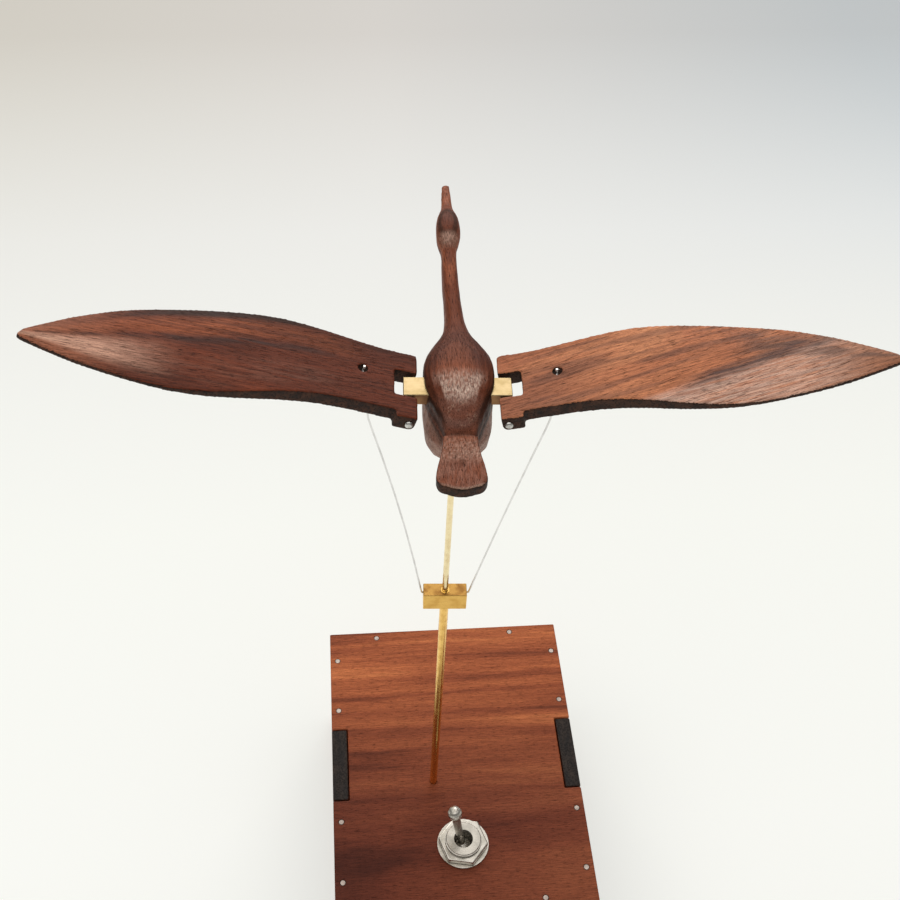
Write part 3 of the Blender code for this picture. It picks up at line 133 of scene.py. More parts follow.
# Fine meshes, in mm: size of their cells, and rounds of smoothing
BODY_CELL = 0.24
BODY_ROUNDS = 8
WING_CELL = 0.28
WING_ROUNDS = 4
SHARP_ANGLE = math.radians(35)

# Parts of a face's direction: enough to look squarely along an axis, and the most that a wing's edge has of Z
SQUARE_ON = 0.9
EDGE_FACING = 0.62

# Floor and light
FLOOR_HALF = 4.0
FLOOR_DROP = 0.0002
FLOOR_REFLECTS = 0.58
# Painted light: the floor glows a little, which lifts the shadows beside the box
FLOOR_GLOWS = 0.53
FLOOR_DEPTH = 1.0
# Painted shade: the floor's tone darkens away from the camera
FLOOR_TONES = (
    (0.0, (0.87, 0.882, 0.852)),
    (0.15, (0.835, 0.85, 0.815)),
    (0.37, (0.73, 0.735, 0.72)),
    (0.60, (0.565, 0.548, 0.525)),
    (1.0, (0.49, 0.475, 0.46)),
)
# Painted light: further away, the floor is tinted warmer on the left and bluer on the right
TINT_REACH = 0.35
FLOOR_TINTS = ((0.0, (0.95, 0.94, 0.88)), (0.5, (1.0, 1.0, 1.0)), (1.0, (0.80, 0.87, 0.935)))
TINT_FROM, TINT_FULL = 0.2, 0.6
SKY_COLOUR = (1.0, 0.985, 0.96, 1.0)
SKY_STRENGTH = 0.30

# Sockets of a mix node that mixes colours
MIX_SHARE, MIX_A, MIX_B, MIX_RESULT = 0, 6, 7, 2


def make_camera():
    """Camera above and behind the bird, turned a little to the right and rolled a little."""
    yaw, pitch, roll = CAMERA_YAW, CAMERA_PITCH, CAMERA_ROLL
    ahead = Vector((math.sin(yaw) * math.cos(pitch), math.cos(yaw) * math.cos(pitch), -math.sin(pitch)))
    level = Vector((math.cos(yaw), -math.sin(yaw), 0))
    down = ahead.cross(level)
    across = math.cos(roll) * level + math.sin(roll) * down
    up = math.sin(roll) * level - math.cos(roll) * down
    data = bpy.data.cameras.new("camera")
    data.lens = LENS
    data.sensor_width = SENSOR
    camera = bpy.data.objects.new("camera", data)
    bpy.context.scene.collection.objects.link(camera)
    turn = Matrix((across, up, -ahead)).transposed()
    camera.matrix_world = Matrix.Translation(CAMERA_PLACE) @ turn.to_4x4()
    bpy.context.scene.camera = camera


class Shader:
    """A material whose nodes are added and joined in one call each. Its textures count in millimetres."""

    def __init__(self, name, roughness=0.5, metallic=0.0):
        self.material = bpy.data.materials.new(name)
        self.material.use_nodes = True
        self.tree = self.material.node_tree
        self.surface = self.tree.nodes["Principled BSDF"]
        self.surface.inputs["Roughness"].default_value = roughness
        self.surface.inputs["Metallic"].default_value = metallic

    def put(self, socket, value):
        """Joins a node's output to the socket, or sets a plain value on it."""
        if isinstance(value, bpy.types.NodeSocket):
            self.tree.links.new(value, socket)
        else:
            socket.default_value = value

    def add(self, kind, inputs=(), output=0, **settings):
        """Adds a node and returns one of its outputs."""
        node = self.tree.nodes.new(kind)
        for name, value in settings.items():
            setattr(node, name, value)
        for key, value in dict(inputs).items():
            self.put(node.inputs[key], value)
        return node.outputs[output]

    def set(self, **inputs):
        """Sets or joins the surface's own inputs, such as base_color."""
        for name, value in inputs.items():
            self.put(self.surface.inputs[name.replace("_", " ").title().replace("Ior", "IOR")], value)

    def place(self, turn=ALONG_X, offset=(0, 0, 0)):
        """Place on the piece in millimetres, turned so that X runs along the grain."""
        where = self.add("ShaderNodeTexCoord", output="Object")
        inputs = {"Vector": where, "Rotation": turn}
        turned = self.add("ShaderNodeVectorRotate", inputs, rotation_type="EULER_XYZ")
        return self.stretch(turned, (1 / MM, 1 / MM, 1 / MM), offset)

    def stretch(self, vector, scale, offset=(0, 0, 0)):
        """Scales a place and then shifts it."""
        return self.add("ShaderNodeMapping", {"Vector": vector, "Scale": scale, "Location": offset})

    def axes(self, vector):
        """The X, Y and Z of a vector."""
        node = self.tree.nodes.new("ShaderNodeSeparateXYZ")
        self.put(node.inputs[0], vector)
        return node.outputs

    def noise(self, vector, scale=1.0, detail=2.0, roughness=0.5):
        return self.add(
            "ShaderNodeTexNoise",
            {"Vector": vector, "Scale": scale, "Detail": detail, "Roughness": roughness},
        )

    def math(self, operation, a, b=0.0, clamp=False):
        return self.add("ShaderNodeMath", {0: a, 1: b}, operation=operation, use_clamp=clamp)

    def range(self, value, low, high, to_low=0.0, to_high=1.0, smooth=True):
        """Spreads a value between low and high over another range, and holds it beyond them."""
        return self.add(
            "ShaderNodeMapRange",
            {"Value": value, "From Min": low, "From Max": high, "To Min": to_low, "To Max": to_high},
            interpolation_type="SMOOTHSTEP" if smooth else "LINEAR",
        )

    def ramp(self, value, stops):
        """Colour between stops, each a place from 0 to 1 and its colour."""
        node = self.tree.nodes.new("ShaderNodeValToRGB")
        self.put(node.inputs[0], value)
        points = node.color_ramp.elements
        while len(points) < len(stops):
            points.new(0.5)
        for point, (place, colour) in zip(points, stops):
            point.position = place
            point.color = (*colour, 1.0)
        return node.outputs[0]

    def blend(self, share, a, b, mode="MIX"):
        """Colour a with a share of colour b over it."""
        node = self.tree.nodes.new("ShaderNodeMix")
        node.data_type = "RGBA"
        node.blend_type = mode
        self.put(node.inputs[MIX_SHARE], share)
        for key, colour in ((MIX_A, a), (MIX_B, b)):
            if not isinstance(colour, bpy.types.NodeSocket):
                colour = (*colour, 1.0)
            self.put(node.inputs[key], colour)
        return node.outputs[MIX_RESULT]

    def bump(self, height, depth, strength=1.0):
        """Surface relief of the given depth in millimetres where the height goes from 0 to 1."""
        made = self.add("ShaderNodeBump", {"Height": height, "Distance": depth * MM, "Strength": strength})
        self.set(normal=made)


def dimmed(tone, share):
    """A share of a colour's light."""
    return [value * share for value in tone]


def wood(name, turn, tones, band=0.35, warp=5.0, pith=(40.0, 60.0), pores=0.55, offset=(0, 0, 0),
         zones=(), fade=None):
    """Oiled wood. Its growth rings run round the pith, whose place is given in mm. band sets how close they
    are, and warp how far they wander in mm. Each zone gives an attribute of the mesh and the colour that
    the wood takes there. fade is painted shade: it gives two places across the grain in mm and a tint,
    which is full at the first place and gone at the second."""
    look = Shader(name)
    place = look.place(turn, offset)
    x, y, z = look.axes(place)

    drift = look.math("SUBTRACT", look.noise(look.stretch(place, DRIFT_SCALE)), 0.5)
    across = look.math("ADD", look.math("ADD", y, look.math("MULTIPLY", drift, warp)), pith[0])
    depth = look.math("ADD", z, pith[1])
    square = look.math("ADD", look.math("POWER", across, 2), look.math("POWER", depth, 2))
    ring = look.math("MULTIPLY", look.math("POWER", square, 0.5), band)
    along = look.math("MULTIPLY", x, RING_CHANGE_ALONG)
    bands = look.noise(look.add("ShaderNodeCombineXYZ", {0: ring, 1: along}), detail=5, roughness=0.6)
    fibre = look.noise(look.stretch(place, FIBRE_SCALE), detail=3, roughness=0.6)
    pore = look.range(look.noise(look.stretch(place, PORE_SCALE, PORE_OFFSET), detail=1), *PORE_OPENS)
    speckle = look.noise(place, scale=SPECKLE_SCALE)

    step = TONE_SPAN / (len(tones) - 1)
    colour = look.ramp(bands, [(TONE_START + i * step, tone) for i, tone in enumerate(tones)])
    for label, zone_colour, _ in zones:
        share = look.add("ShaderNodeAttribute", output="Fac", attribute_name=label)
        share = look.math("MULTIPLY", share, look.range(bands, *ZONE_BY_BAND), clamp=True)
        colour = look.blend(share, colour, zone_colour)
    colour = look.blend(look.range(fibre, *FIBRE_DARKENS), colour, dimmed(tones[0], 0.45))
    colour = look.blend(look.math("MULTIPLY", pore, pores), colour, dimmed(tones[0], 0.2))
    colour = look.blend(SPECKLE_SHARE, colour, look.ramp(speckle, SPECKLE_GREYS), "OVERLAY")
    # Painted shade across the grain
    if fade:
        start, end, tint = fade
        colour = look.blend(look.range(y, start, end, 1.0, 0.0), colour, tint, "MULTIPLY")
    even = look.range(fibre, 0.2, 0.8, WOOD_ROUGHNESS - 0.06, WOOD_ROUGHNESS + 0.1)
    roughness = look.math("ADD", look.math("MULTIPLY", pore, 0.2), even)
    look.set(base_color=colour, roughness=roughness, specular_ior_level=WOOD_SHINE)
    relief = look.math("SUBTRACT", look.math("MULTIPLY", fibre, 0.4), pore)
    look.bump(look.math("ADD", relief, look.math("MULTIPLY", speckle, 0.3)), WOOD_RELIEF, 0.8)
    return look.material


def end_grain(name, tones):
    """Cross-cut wood: rings seen end on, full of pores."""
    look = Shader(name)
    place = look.place()
    pores = look.range(look.noise(place, scale=2.2), 0.5, 0.62)
    rings = look.noise(look.stretch(place, (0.5, 0.15, 0.5)), detail=3)
    colour = look.ramp(rings, [(0.35, tones[0]), (0.65, tones[1])])
    colour = look.blend(look.math("MULTIPLY", pores, 0.7), colour, dimmed(tones[0], 0.3))
    roughness = look.range(rings, 0.2, 0.8, END_ROUGHNESS - 0.08, END_ROUGHNESS + 0.1)
    look.set(base_color=colour, roughness=roughness, specular_ior_level=END_SHINE)
    look.bump(look.math("MULTIPLY", pores, -1.0), END_RELIEF, 0.9)
    return look.material


def metal(name, bright, dull, turn=ALONG_X, lines=6.0, roughness=0.25, thread=None):
    """Metal with fine lines from its last working and patches that are duller. thread is a pitch in mm."""
    look = Shader(name, metallic=1.0)
    place = look.place(turn)
    cloud = look.noise(place, scale=0.35, detail=3)
    line = look.noise(look.stretch(place, (0.15, lines, lines)), detail=3, roughness=0.65)
    look.set(base_color=look.blend(look.range(cloud, 0.35, 0.7), bright, dull))
    even = look.math("MULTIPLY", look.range(line, 0.25, 0.75, 0.75, 1.3), roughness)
    look.set(roughness=look.math("ADD", even, look.range(cloud, 0.4, 0.7, 0.0, 0.08)))
    if thread:
        z = look.axes(place)[2]
        look.bump(look.math("SINE", look.math("MULTIPLY", z, 2 * math.pi / thread)), thread / 6)
    else:
        look.bump(line, METAL_RELIEF, 0.7)
    return look.material


def plastic(name, tone, roughness=0.45):
    """Moulded plastic with a fine even grain and a few scuffs."""
    look = Shader(name)
    place = look.place()
    grain = look.noise(place, scale=5.0)
    scuff = look.range(look.noise(look.stretch(place, (0.3, 1.2, 2.0)), detail=4), 0.55, 0.75)
    look.set(base_color=look.blend(scuff, tone, [value + 0.02 for value in dimmed(tone, 0.6)]))
    even = look.range(grain, 0.3, 0.7, roughness - 0.05, roughness + 0.05)
    look.set(roughness=look.math("ADD", even, look.math("MULTIPLY", scuff, 0.12)))
    look.bump(grain, PLASTIC_RELIEF, 0.5)
    return look.material


def paint(node, material):
    """Gives a node its finish."""
    materials = nodes[node].data.materials
    materials.clear()
    materials.append(material)


def paint_faces(node, material, facing):
    """Gives the faces that look along a direction a second finish."""
    mesh = nodes[node].data
    mesh.materials.append(material)
    for face in mesh.polygons:
        if face.normal.dot(Vector(facing)) > SQUARE_ON:
            face.material_index = len(mesh.materials) - 1


def finish_nodes():
    """Finishes by material slot first, then the pieces that differ from their slot."""
    by_slot = {
        # The box's wood takes painted shade towards its switch end
        "box_wood": wood("box_wood", ALONG_X, RED_TONES, band=0.3, offset=(13, 5, 2), fade=BOX_SHADE_FADE),
        "side_wood": wood("frame_wood", ALONG_Y, DARK_TONES, offset=(3, 25, 12)),
        "brass": metal("brass", (0.52, 0.395, 0.215), (0.42, 0.31, 0.145), lines=5.0, roughness=0.36),
        "steel": metal("steel", (0.66, 0.65, 0.62), (0.5, 0.49, 0.46)),
        "nickel": metal("nickel", (0.54, 0.51, 0.46), (0.42, 0.40, 0.35), roughness=0.24),
        "black_plastic": plastic("black_plastic", (0.02, 0.02, 0.021)),
        "cell_sleeve": plastic("cell_sleeve", (0.2, 0.22, 0.25), 0.3),
        "red_lead": plastic("red_insulation", (0.45, 0.02, 0.015), 0.35),
        "black_lead": plastic("black_insulation", (0.015, 0.015, 0.016), 0.35),
    }
    for row in frame["record"]["subparts"]:
        if row["material_slot"] in by_slot:
            paint(row["node"], by_slot[row["material_slot"]])
    for node in nodes.values():
        node.data.shade_smooth()
        node.data.set_sharp_from_angle(angle=SHARP_ANGLE)

    pin_steel = metal("pin_steel", (0.42, 0.36, 0.32), (0.30, 0.25, 0.22), roughness=0.4)
    for name in nodes:
        if name.startswith("top_pin_"):
            paint(name, pin_steel)
    wire_steel = metal("wire_steel", (0.80, 0.79, 0.78), (0.70, 0.69, 0.68), ALONG_Z, roughness=0.3)
    tenon = end_grain("tenon_end_grain", TENON_TONES)
    for side_name in ("left", "right"):
        paint(f"{side_name}_wing_wire", wire_steel)
        paint_faces(f"{side_name}_side_panel", tenon, (0, 0, 1))
    own = {
        "switch_frame": metal("threaded_nickel", (0.50, 0.47, 0.42), (0.38, 0.36, 0.32), roughness=0.27,
                              thread=THREAD_PITCH),
        "lift_rod": metal("brass_rod", (0.92, 0.78, 0.48), (0.82, 0.66, 0.38), ALONG_Z, roughness=0.2),
        "guide_tube": metal("brass_tube", (0.94, 0.60, 0.18), (0.80, 0.48, 0.13), ALONG_Z, roughness=0.2),
        "wire_block": metal("deep_brass", (0.84, 0.52, 0.14), (0.70, 0.40, 0.09), lines=3.0, roughness=0.32),
    }
    for name, material in own.items():
        paint(name, material)
    # Painted shade: the block's top takes a darker copy of its brass for the dim reflection there; its slanting
    # lines are saw marks
    shaded_sawn_brass = metal("shaded_sawn_brass", (0.46, 0.26, 0.07), (0.30, 0.15, 0.04), SAW_TURN, 2.5, roughness=0.4)
    paint_faces("wire_block", shaded_sawn_brass, (0, 0, 1))
    # Painted shade: the bar's faces turned to the camera take a darker copy of brass
    bar_back_shade = metal("bar_back_shade", (0.28, 0.15, 0.07), (0.20, 0.10, 0.05), lines=4.0, roughness=0.35)
    paint_faces("cross_bar", bar_back_shade, (0, -1, 0))


def smooth(value, low, high):
    """Goes softly from 0 at low to 1 at high."""
    share = min(max((value - low) / (high - low), 0.0), 1.0)
    return share * share * (3 - 2 * share)


def hump(value, low, high, soft):
    """1 between low and high, and 0 beyond them, with soft ends."""
    return smooth(value, low - soft, low + soft) * (1 - smooth(value, high - soft, high + soft))


def ripple(place, size, seed=0.0):
    """Even random waves from about -1 to 1, of a size in mm."""
    return noise.noise(Vector(place) / size + Vector((seed, seed, seed)))


def fine_copy(name, node, body, axes, side, cell, rounds, relief, zones, materials, cut):
    """A node's form as a fine even mesh, carved by a relief in mm, with a share of each zone at every point.
    Places are in mm in the piece's axes. side is -1 for the left wing, whose X is mirrored so that it runs
    outwards. cut tells where a face takes the second material."""
    source = nodes[node]
    piece = source.copy()
    piece.data = source.data.copy()
    bpy.context.scene.collection.objects.link(piece)
    remesh = piece.modifiers.new("remesh", "REMESH")
    remesh.mode = "VOXEL"
    remesh.voxel_size = cell * MM
    soften = piece.modifiers.new("soften", "SMOOTH")
    soften.factor = 0.5
    soften.iterations = rounds
    state = bpy.context.evaluated_depsgraph_get()
    mesh = bpy.data.meshes.new_from_object(piece.evaluated_get(state))
    bpy.data.objects.remove(piece)
    mesh.name = name
    mesh.transform(source.matrix_world)

    inward = axes.inverted()
    turn = inward.to_3x3()
    mirror = Vector((side, 1, 1))
    normals = [vertex.normal.copy() for vertex in mesh.vertices]
    places = [(inward @ vertex.co) / MM * mirror for vertex in mesh.vertices]
    facings = [(turn @ normal) * mirror for normal in normals]
    for vertex, normal, place in zip(mesh.vertices, normals, places):
        vertex.co += normal * relief(place) * MM
    for label, _, rule in zones:
        layer = mesh.attributes.new(label, "FLOAT", "POINT")
        layer.data.foreach_set("value", [rule(place, facing) for place, facing in zip(places, facings)])

    mesh.materials.clear()
    for material in materials:
        mesh.materials.append(material)
    for face in mesh.polygons:
        face.use_smooth = True
        facing = sum((facings[i] for i in face.vertices), Vector()) / len(face.vertices)
        place = sum((places[i] for i in face.vertices), Vector()) / len(face.vertices)
        face.material_index = 1 if cut(place, facing) else 0
    made = bpy.data.objects.new(name, mesh)
    bpy.context.scene.collection.objects.link(made)
    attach(made, body)
    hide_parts(node)
    return made


def body_relief(place):
    """Knife chips on the rump, fine grooves along the tail and a faint waviness all over."""
    x, y, z = place
    rump = hump(y, -13.6, -4.0, 1.5) * smooth(z, -3.0, 0.0)
    chips = ripple((x * 1.2, y * 0.7, z), 1.5) * 0.13 + ripple((x, y * 0.6, z), 3.2, 5.0) * 0.16
    tail = smooth(-y, 14.4, 15.5) * ripple((x, y * 0.12, z), 0.9, 9.0) * 0.06
    return rump * chips + tail + ripple(place, 3.5, 2.0) * 0.05


def body_cut(place, facing):
    """Cross-cut wood shows on the tail's end and on its lower side, in very dark tones that are partly painted
    shade.
    """
    tail_end = place.y < -25.5 and facing.z < 0.55
    underside = place.y < -16.0 and facing.z < 0.3
    return tail_end or underside


def streaks(place, across, along, seed, low, high):
    """Streaks along the body: their width and length in mm."""
    x, y, z = place
    return smooth(ripple((x / across, y / along, z / across), 1.0, seed), low, high)


def crease_shade(place, facing):
    """Painted shade in the hollow beside the belly, and a painted shadow line at the step where the tail begins.
    """
    side = hump(place.y, -15.0, 5.0, 2.0) * (1 - smooth(facing.z, 0.35, 0.8)) * smooth(place.z, -3.6, -2.0)
    tail_step = hump(place.y, -14.75, -13.9, 0.35) * smooth(facing.z, 0.0, 0.5)
    return min(1.0, side + tail_step)


# Zones of the body: name, colour, and share at a place p in mm where the surface faces n
BODY_ZONES = (
    ("shoulder", (0.062, 0.012, 0.005), lambda p, n: hump(p.y, 3.0, 16.0, 3.0) * smooth(n.z, 0.2, 0.7)
     * (0.65 + 0.35 * smooth(abs(p.x - 0.4), 1.0, 5.0))),
    ("flecks", (0.28, 0.10, 0.055), lambda p, n: hump(p.y, 2.5, 12.0, 2.5) * smooth(n.z, 0.6, 0.9)
     * streaks(p, 0.32, 1.6, 11.0, 0.22, 0.5) * 0.3),
    # Painted shade on the sides of the back, where they turn away sideways
    ("flank_shade", (0.040, 0.012, 0.006), lambda p, n: hump(p.y, -12.0, 3.0, 3.0) * smooth(abs(n.x), 0.35, 0.8)
     * smooth(p.z, -2.5, 0.5) * 0.85),
    ("rump", (0.21, 0.092, 0.066), lambda p, n: hump(p.y, -14.0, -5.5, 1.6) * smooth(n.z, 0.3, 0.7) * 0.75),
    # Painted highlight: the satin sheen across the middle of the back, broken up by streaks
    ("back_sheen", (0.80, 0.60, 0.49), lambda p, n: hump(p.y, -7.2, -0.2, 2.4) * smooth(n.z, 0.80, 0.97)
     * (0.35 + 0.65 * streaks(p, 0.30, 1.0, 3.0, -0.3, 0.15))),
    # Painted shade in the hollow beside the belly and at the tail's step
    ("crease_shade", (0.032, 0.012, 0.007), crease_shade),
    ("chips", (0.46, 0.28, 0.20), lambda p, n: hump(p.y, -13.3, -7.5, 1.0) * smooth(n.z, 0.6, 0.9)
     * smooth(ripple((p.x, p.y, 0), 2.0, 21.0), -0.1, 0.3) * streaks(p, 0.35, 0.45, 29.0, 0.05, 0.3) * 0.75),
    # Painted sheen: a pale grey-pink reflection on the belly's sides and underside
    ("belly", (0.43, 0.24, 0.175), lambda p, n: (1 - smooth(n.z, 0.1, 0.6)) * smooth(-p.z, 1.6, 3.4)
     * (0.8 + 0.2 * streaks(p, 1.5, 6.0, 31.0, -0.4, 0.4))),
    # Painted highlight on the top of the head
    ("head_highlight", (0.40, 0.235, 0.175), lambda p, n: hump(p.y, 43.2, 47.2, 1.2) * smooth(n.z, 0.2, 0.7)
     * (0.6 + 0.4 * streaks(p, 0.5, 1.5, 41.0, -0.3, 0.3))),
    ("tail", (0.36, 0.165, 0.115), lambda p, n: smooth(-p.y, 17.5, 22.0) * smooth(n.z, 0.6, 0.9)
     * (0.35 + 0.65 * streaks(p, 0.45, 7.0, 17.0, -0.3, 0.25)) * 0.95),
    # Painted sheen on the top of the tail's root, broken up by streaks
    ("root", (0.66, 0.42, 0.32), lambda p, n: hump(-p.y, 15.4, 20.5, 1.6) * smooth(n.z, 0.6, 0.9)
     * (0.3 + 0.7 * streaks(p, 0.3, 0.45, 7.0, -0.25, 0.3)) * 0.85),
    # Painted highlight along the rounded top edge of the tail's end
    ("rim_highlight", (0.55, 0.36, 0.27), lambda p, n: smooth(-p.y, 26.0, 26.6) * hump(n.z, 0.5, 0.93, 0.06) * 0.75),
)


def make_body():
    """The carved body, with a painted highlight on its back, painted sheen on its belly, and a cross-cut tail
    whose dark tones are partly painted shade.
    """
    look = wood("bird_wood", ALONG_Y, BODY_TONES, band=0.5, warp=3.0, pith=(12.0, 30.0), pores=0.75,
                zones=BODY_ZONES)
    paint("bird_body", look)
    made = fine_copy(
        "carved_body", "bird_body", "bird", BODY_AXES, 1, BODY_CELL, BODY_ROUNDS,
        body_relief, BODY_ZONES, (look, end_grain("bird_end_grain", CUT_AND_SHADE_TONES)), body_cut,
    )


def chord(out):
    """Rear and front edge of a wing in mm, at a distance from the hinge in mm."""
    front = 9.2 + 2.7 * smooth(out, 0, 28) - 3.5 * smooth(out, 34, 52) - 17.0 * smooth(out, 46, 88) ** 1.15
    rear = -9.4 - 6.3 * smooth(out, 20, 50) + 6.2 * smooth(out, 54, 86)
    return rear, front


def share(place):
    """How far a place lies from the wing's rear edge, 0, to its front edge, 1."""
    rear, front = chord(place.x)
    return (place.y - rear) / max(front - rear, 0.5)


def grain(place, across, along, slope, seed, low, high):
    """Streaks along a wing: their width and length in mm, and how much they lean forwards."""
    return smooth(ripple((place.x / along, (place.y - slope * place.x) / across, 0), 1.0, seed), low, high)


def past_line(place):
    """How far in mm a place lies ahead of the slanting line where the right wing's sheen ends."""
    return place.y - 0.26 * (place.x - 50)


# Zones of the wings, with X outwards from the hinge and Y ahead
LEFT_ZONES = (
    ("fine", (0.030, 0.008, 0.004), lambda p, n: grain(p, 0.55, 16.0, 0.02, 3.0, 0.0, 0.4) * 0.65),
    ("streak", (0.42, 0.11, 0.038), lambda p, n: hump(share(p), 0.66, 0.90, 0.06) * hump(p.x, 14, 84, 7)
     * (0.45 + 0.55 * grain(p, 0.8, 22.0, 0.0, 8.0, -0.3, 0.3)) * (0.4 + 0.6 * smooth(p.x, 25, 60))),
    ("mist", (0.25, 0.125, 0.088), lambda p, n: hump(p.x, 16, 60, 9) * hump(share(p), 0.10, 0.40, 0.1)
     * grain(p, 0.9, 9.0, 0.0, 15.0, -0.3, 0.5) * 0.45),
    ("tip", (0.44, 0.16, 0.085), lambda p, n: smooth(p.x, 58, 76) * 0.85),
    ("sheen", (0.90, 0.53, 0.38), lambda p, n: hump(p.x, 58, 84, 10) * hump(share(p), 0.17, 0.52, 0.12)
     * (0.7 + 0.3 * grain(p, 0.5, 3.0, 0.0, 4.0, -0.5, 0.3))),
    ("vein", (0.050, 0.024, 0.020), lambda p, n: hump(share(p), 0.57, 0.64, 0.035) * hump(p.x, 18, 82, 6)
     * grain(p, 0.7, 14.0, 0.0, 12.0, -0.5, 0.1)),
    ("shade", (0.036, 0.016, 0.011), lambda p, n: hump(p.x, 24, 66, 5) * smooth(share(p), 0.90, 0.955)
     * 0.95),
)
RIGHT_ZONES = (
    ("fine", (0.19, 0.065, 0.034), lambda p, n: grain(p, 0.5, 14.0, 0.17, 2.0, 0.02, 0.35) * 0.6),
    ("root", (0.22, 0.080, 0.048), lambda p, n: (1 - smooth(p.x, 8, 26)) * (1 - smooth(share(p), 0.45, 0.75))
     * 0.7),
    ("streak", (0.125, 0.058, 0.042), lambda p, n: grain(p, 1.8, 26.0, 0.20, 6.0, 0.04, 0.30)
     * hump(p.x, 6, 78, 8) * 0.8),
    ("sheen", (0.75, 0.53, 0.43), lambda p, n: smooth(p.x - 4.0 * p.y, 44, 76) * (1 - smooth(p.x, 68, 82))
     * (1 - smooth(past_line(p), -7.0, -4.5)) * (0.35 + 0.65 * grain(p, 0.5, 7.0, 0.17, 4.0, -0.4, 0.2))),
    ("end", (0.10, 0.060, 0.050), lambda p, n: smooth(p.x, 48, 60) * hump(share(p), 0.62, 0.95, 0.08)
     * grain(p, 1.1, 14.0, 0.1, 24.0, -0.5, 0.1) * 1.3),
    ("divide", (0.055, 0.042, 0.046), lambda p, n: hump(p.x, 40, 74, 5) * hump(past_line(p), -7.0, -3.8, 1.2)
     * (0.5 + 0.5 * grain(p, 0.6, 9.0, 0.2, 14.0, -0.3, 0.2)) * 1.5),
    ("tip", (0.20, 0.115, 0.086), lambda p, n: smooth(p.x, 62, 78)
     * (0.7 + 0.3 * grain(p, 0.6, 9.0, 0.1, 34.0, -0.3, 0.2))),
)


def make_wing(side_name, side, rise, tones, slant, offset, zones):
    """A carved wing whose edges take very dark cut-wood tones, partly painted shade. Its grain follows the wing's
    rise and slants by an angle.
    """
    node = f"{side_name}_wing"
    look = wood(f"{node}_wood", (0, side * rise, slant), tones, band=0.42, warp=4.0, pith=(20.0, 25.0),
                pores=0.75, offset=offset, zones=zones)
    paint(node, look)
    hinge = Matrix.Translation((side * HINGE_OFFSET, 0, 0)) @ Matrix.Rotation(-side * rise, 4, "Y")

    def relief(place):
        return ripple((place.x * 0.4, place.y, place.z), 5.0, side) * 0.06 - 0.01

    def cut(place, facing):
        return abs(facing.z) < EDGE_FACING

    made = fine_copy(
        f"{side_name}_carved_wing", node, f"{node}_and_pin", BODY_AXES @ hinge, side, WING_CELL, WING_ROUNDS,
        relief, zones, (look, end_grain(f"{node}_edge", CUT_AND_SHADE_TONES)), cut,
    )


def make_wings():
    """The left wing is dark, and the right one lighter, with a slanting grain."""
    make_wing("left", -1, LEFT_RISE, LEFT_TONES, 0, (0, 4, 0), LEFT_ZONES)
    make_wing("right", 1, RIGHT_RISE, RIGHT_TONES, math.radians(-10), (9, 33, 4), RIGHT_ZONES)


# Bent wire ends, in mm: half their thickness, and how much of the wire's top they start from
HOOK_RADIUS = 0.34
WIRE_TOP = 0.6
# How strongly each of them leans towards +X
HOOK_LEANS = (("left", 2.1), ("right", -1.0))


def make_hooks():
    """Bright bent-over end of each wire, standing in the front of the hole in its wing."""
    steel = metal("hook_steel", (0.96, 0.95, 0.92), (0.86, 0.85, 0.82), roughness=0.42)
    for side_name, lean in HOOK_LEANS:
        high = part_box(f"{side_name}_wing_wire")[1]
        wire = nodes[f"{side_name}_wing_wire"].data
        top = [vertex.co for vertex in wire.vertices if vertex.co.z > high.z - WIRE_TOP * MM]
        middle = sum(top, Vector()) / len(top)
        front = max(point.y for point in top)
        # Each row: sideways in mm, place along Y, rise above the wire in mm, share of the thickness
        bend = (
            (0.02, middle.y, 0.0, 0.65),
            (0.10, middle.y + 0.1 * MM, 0.35, 0.7),
            (0.16, front - 0.45 * MM, 0.7, 1.0),
            (0.17, front - 0.42 * MM, 1.0, 1.0),
            (0.17, front - 0.42 * MM, 1.15, 0.8),
        )
        curve = bpy.data.curves.new(f"{side_name}_hook", "CURVE")
        curve.dimensions = "3D"
        curve.bevel_depth = HOOK_RADIUS * MM
        curve.bevel_resolution = 4
        curve.use_fill_caps = True
        line = curve.splines.new("POLY")
        line.points.add(len(bend) - 1)
        for point, (sideways, y, rise, thickness) in zip(line.points, bend):
            point.co = (middle.x + lean * sideways * MM, y, high.z + rise * MM, 1.0)
            point.radius = thickness
        curve.materials.append(steel)
        hook = bpy.data.objects.new(f"{side_name}_hook", curve)
        bpy.context.scene.collection.objects.link(hook)
        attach(hook, f"{side_name}_wire")


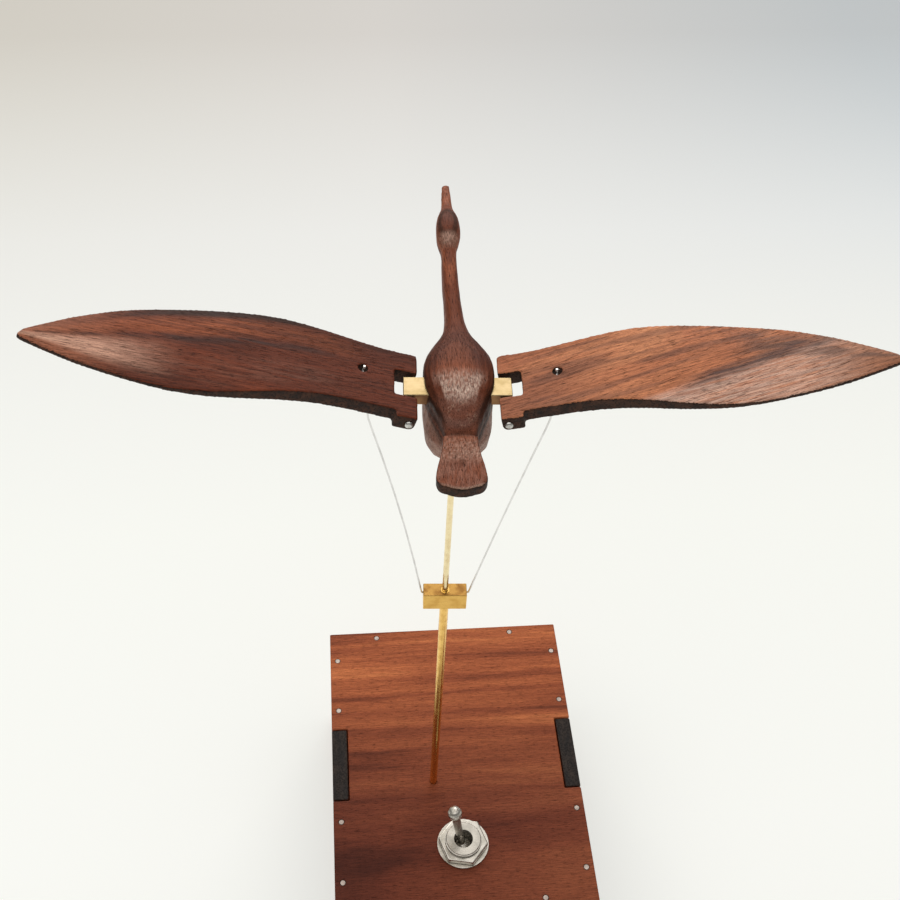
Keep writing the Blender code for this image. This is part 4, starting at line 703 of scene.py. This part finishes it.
def make_floor():
    """Pale paper with painted light: it darkens away from the camera, is warmer on the left and bluer on the
    right, and glows a little to lift the shadows beside the box.
    """
    half = FLOOR_HALF
    mesh = bpy.data.meshes.new("floor")
    corners = [(-half, -half, 0), (half, -half, 0), (half, half, 0), (-half, half, 0)]
    mesh.from_pydata(corners, [], [(0, 1, 2, 3)])
    floor = bpy.data.objects.new("floor", mesh)
    bpy.context.scene.collection.objects.link(floor)
    floor.location.z = -FLOOR_DROP
    look = Shader("floor", roughness=0.8)
    x, y, _ = look.axes(look.add("ShaderNodeTexCoord", output="Object"))
    fall = look.ramp(look.range(y, 0.0, FLOOR_DEPTH, smooth=False), FLOOR_TONES)
    tint = look.ramp(look.range(x, -TINT_REACH, TINT_REACH, smooth=False), FLOOR_TINTS)
    tone = look.blend(look.range(y, TINT_FROM, TINT_FULL), fall, look.blend(1.0, fall, tint, "MULTIPLY"))
    look.set(base_color=look.blend(1.0, tone, (FLOOR_REFLECTS,) * 3, "MULTIPLY"), specular_ior_level=0.0)
    # Painted light: the floor's own glow
    look.set(emission_color=tone, emission_strength=FLOOR_GLOWS)
    mesh.materials.append(look.material)


def area_light(name, place, target, size, power, colour):
    """Flat light that faces a target, with its power in watts."""
    data = bpy.data.lights.new(name, "AREA")
    data.shape = "RECTANGLE"
    data.size, data.size_y = size
    data.energy = power
    data.color = colour
    light = bpy.data.objects.new(name, data)
    bpy.context.scene.collection.objects.link(light)
    light.location = place
    light.rotation_euler = (Vector(target) - Vector(place)).to_track_quat("-Z", "Y").to_euler()


def make_light():
    """Bright sky from above and beyond the bird, and less from the camera's side."""
    world = bpy.data.worlds.new("studio")
    world.use_nodes = True
    sky = world.node_tree.nodes["Background"]
    sky.inputs["Color"].default_value = SKY_COLOUR
    sky.inputs["Strength"].default_value = SKY_STRENGTH
    bpy.context.scene.world = world
    area_light("back_window", (0.1, 1.7, 1.1), (0, 0, 0.15), (2.4, 0.9), 20.0, (1.0, 0.97, 0.93))
    area_light("ceiling", (-0.25, 0.25, 1.8), (0, 0, 0), (3.0, 2.4), 27.0, (1.0, 0.98, 0.95))
    bpy.context.scene.view_settings.view_transform = "Standard"


make_camera()
finish_nodes()
make_body()
make_wings()
make_hooks()
make_floor()
make_light()
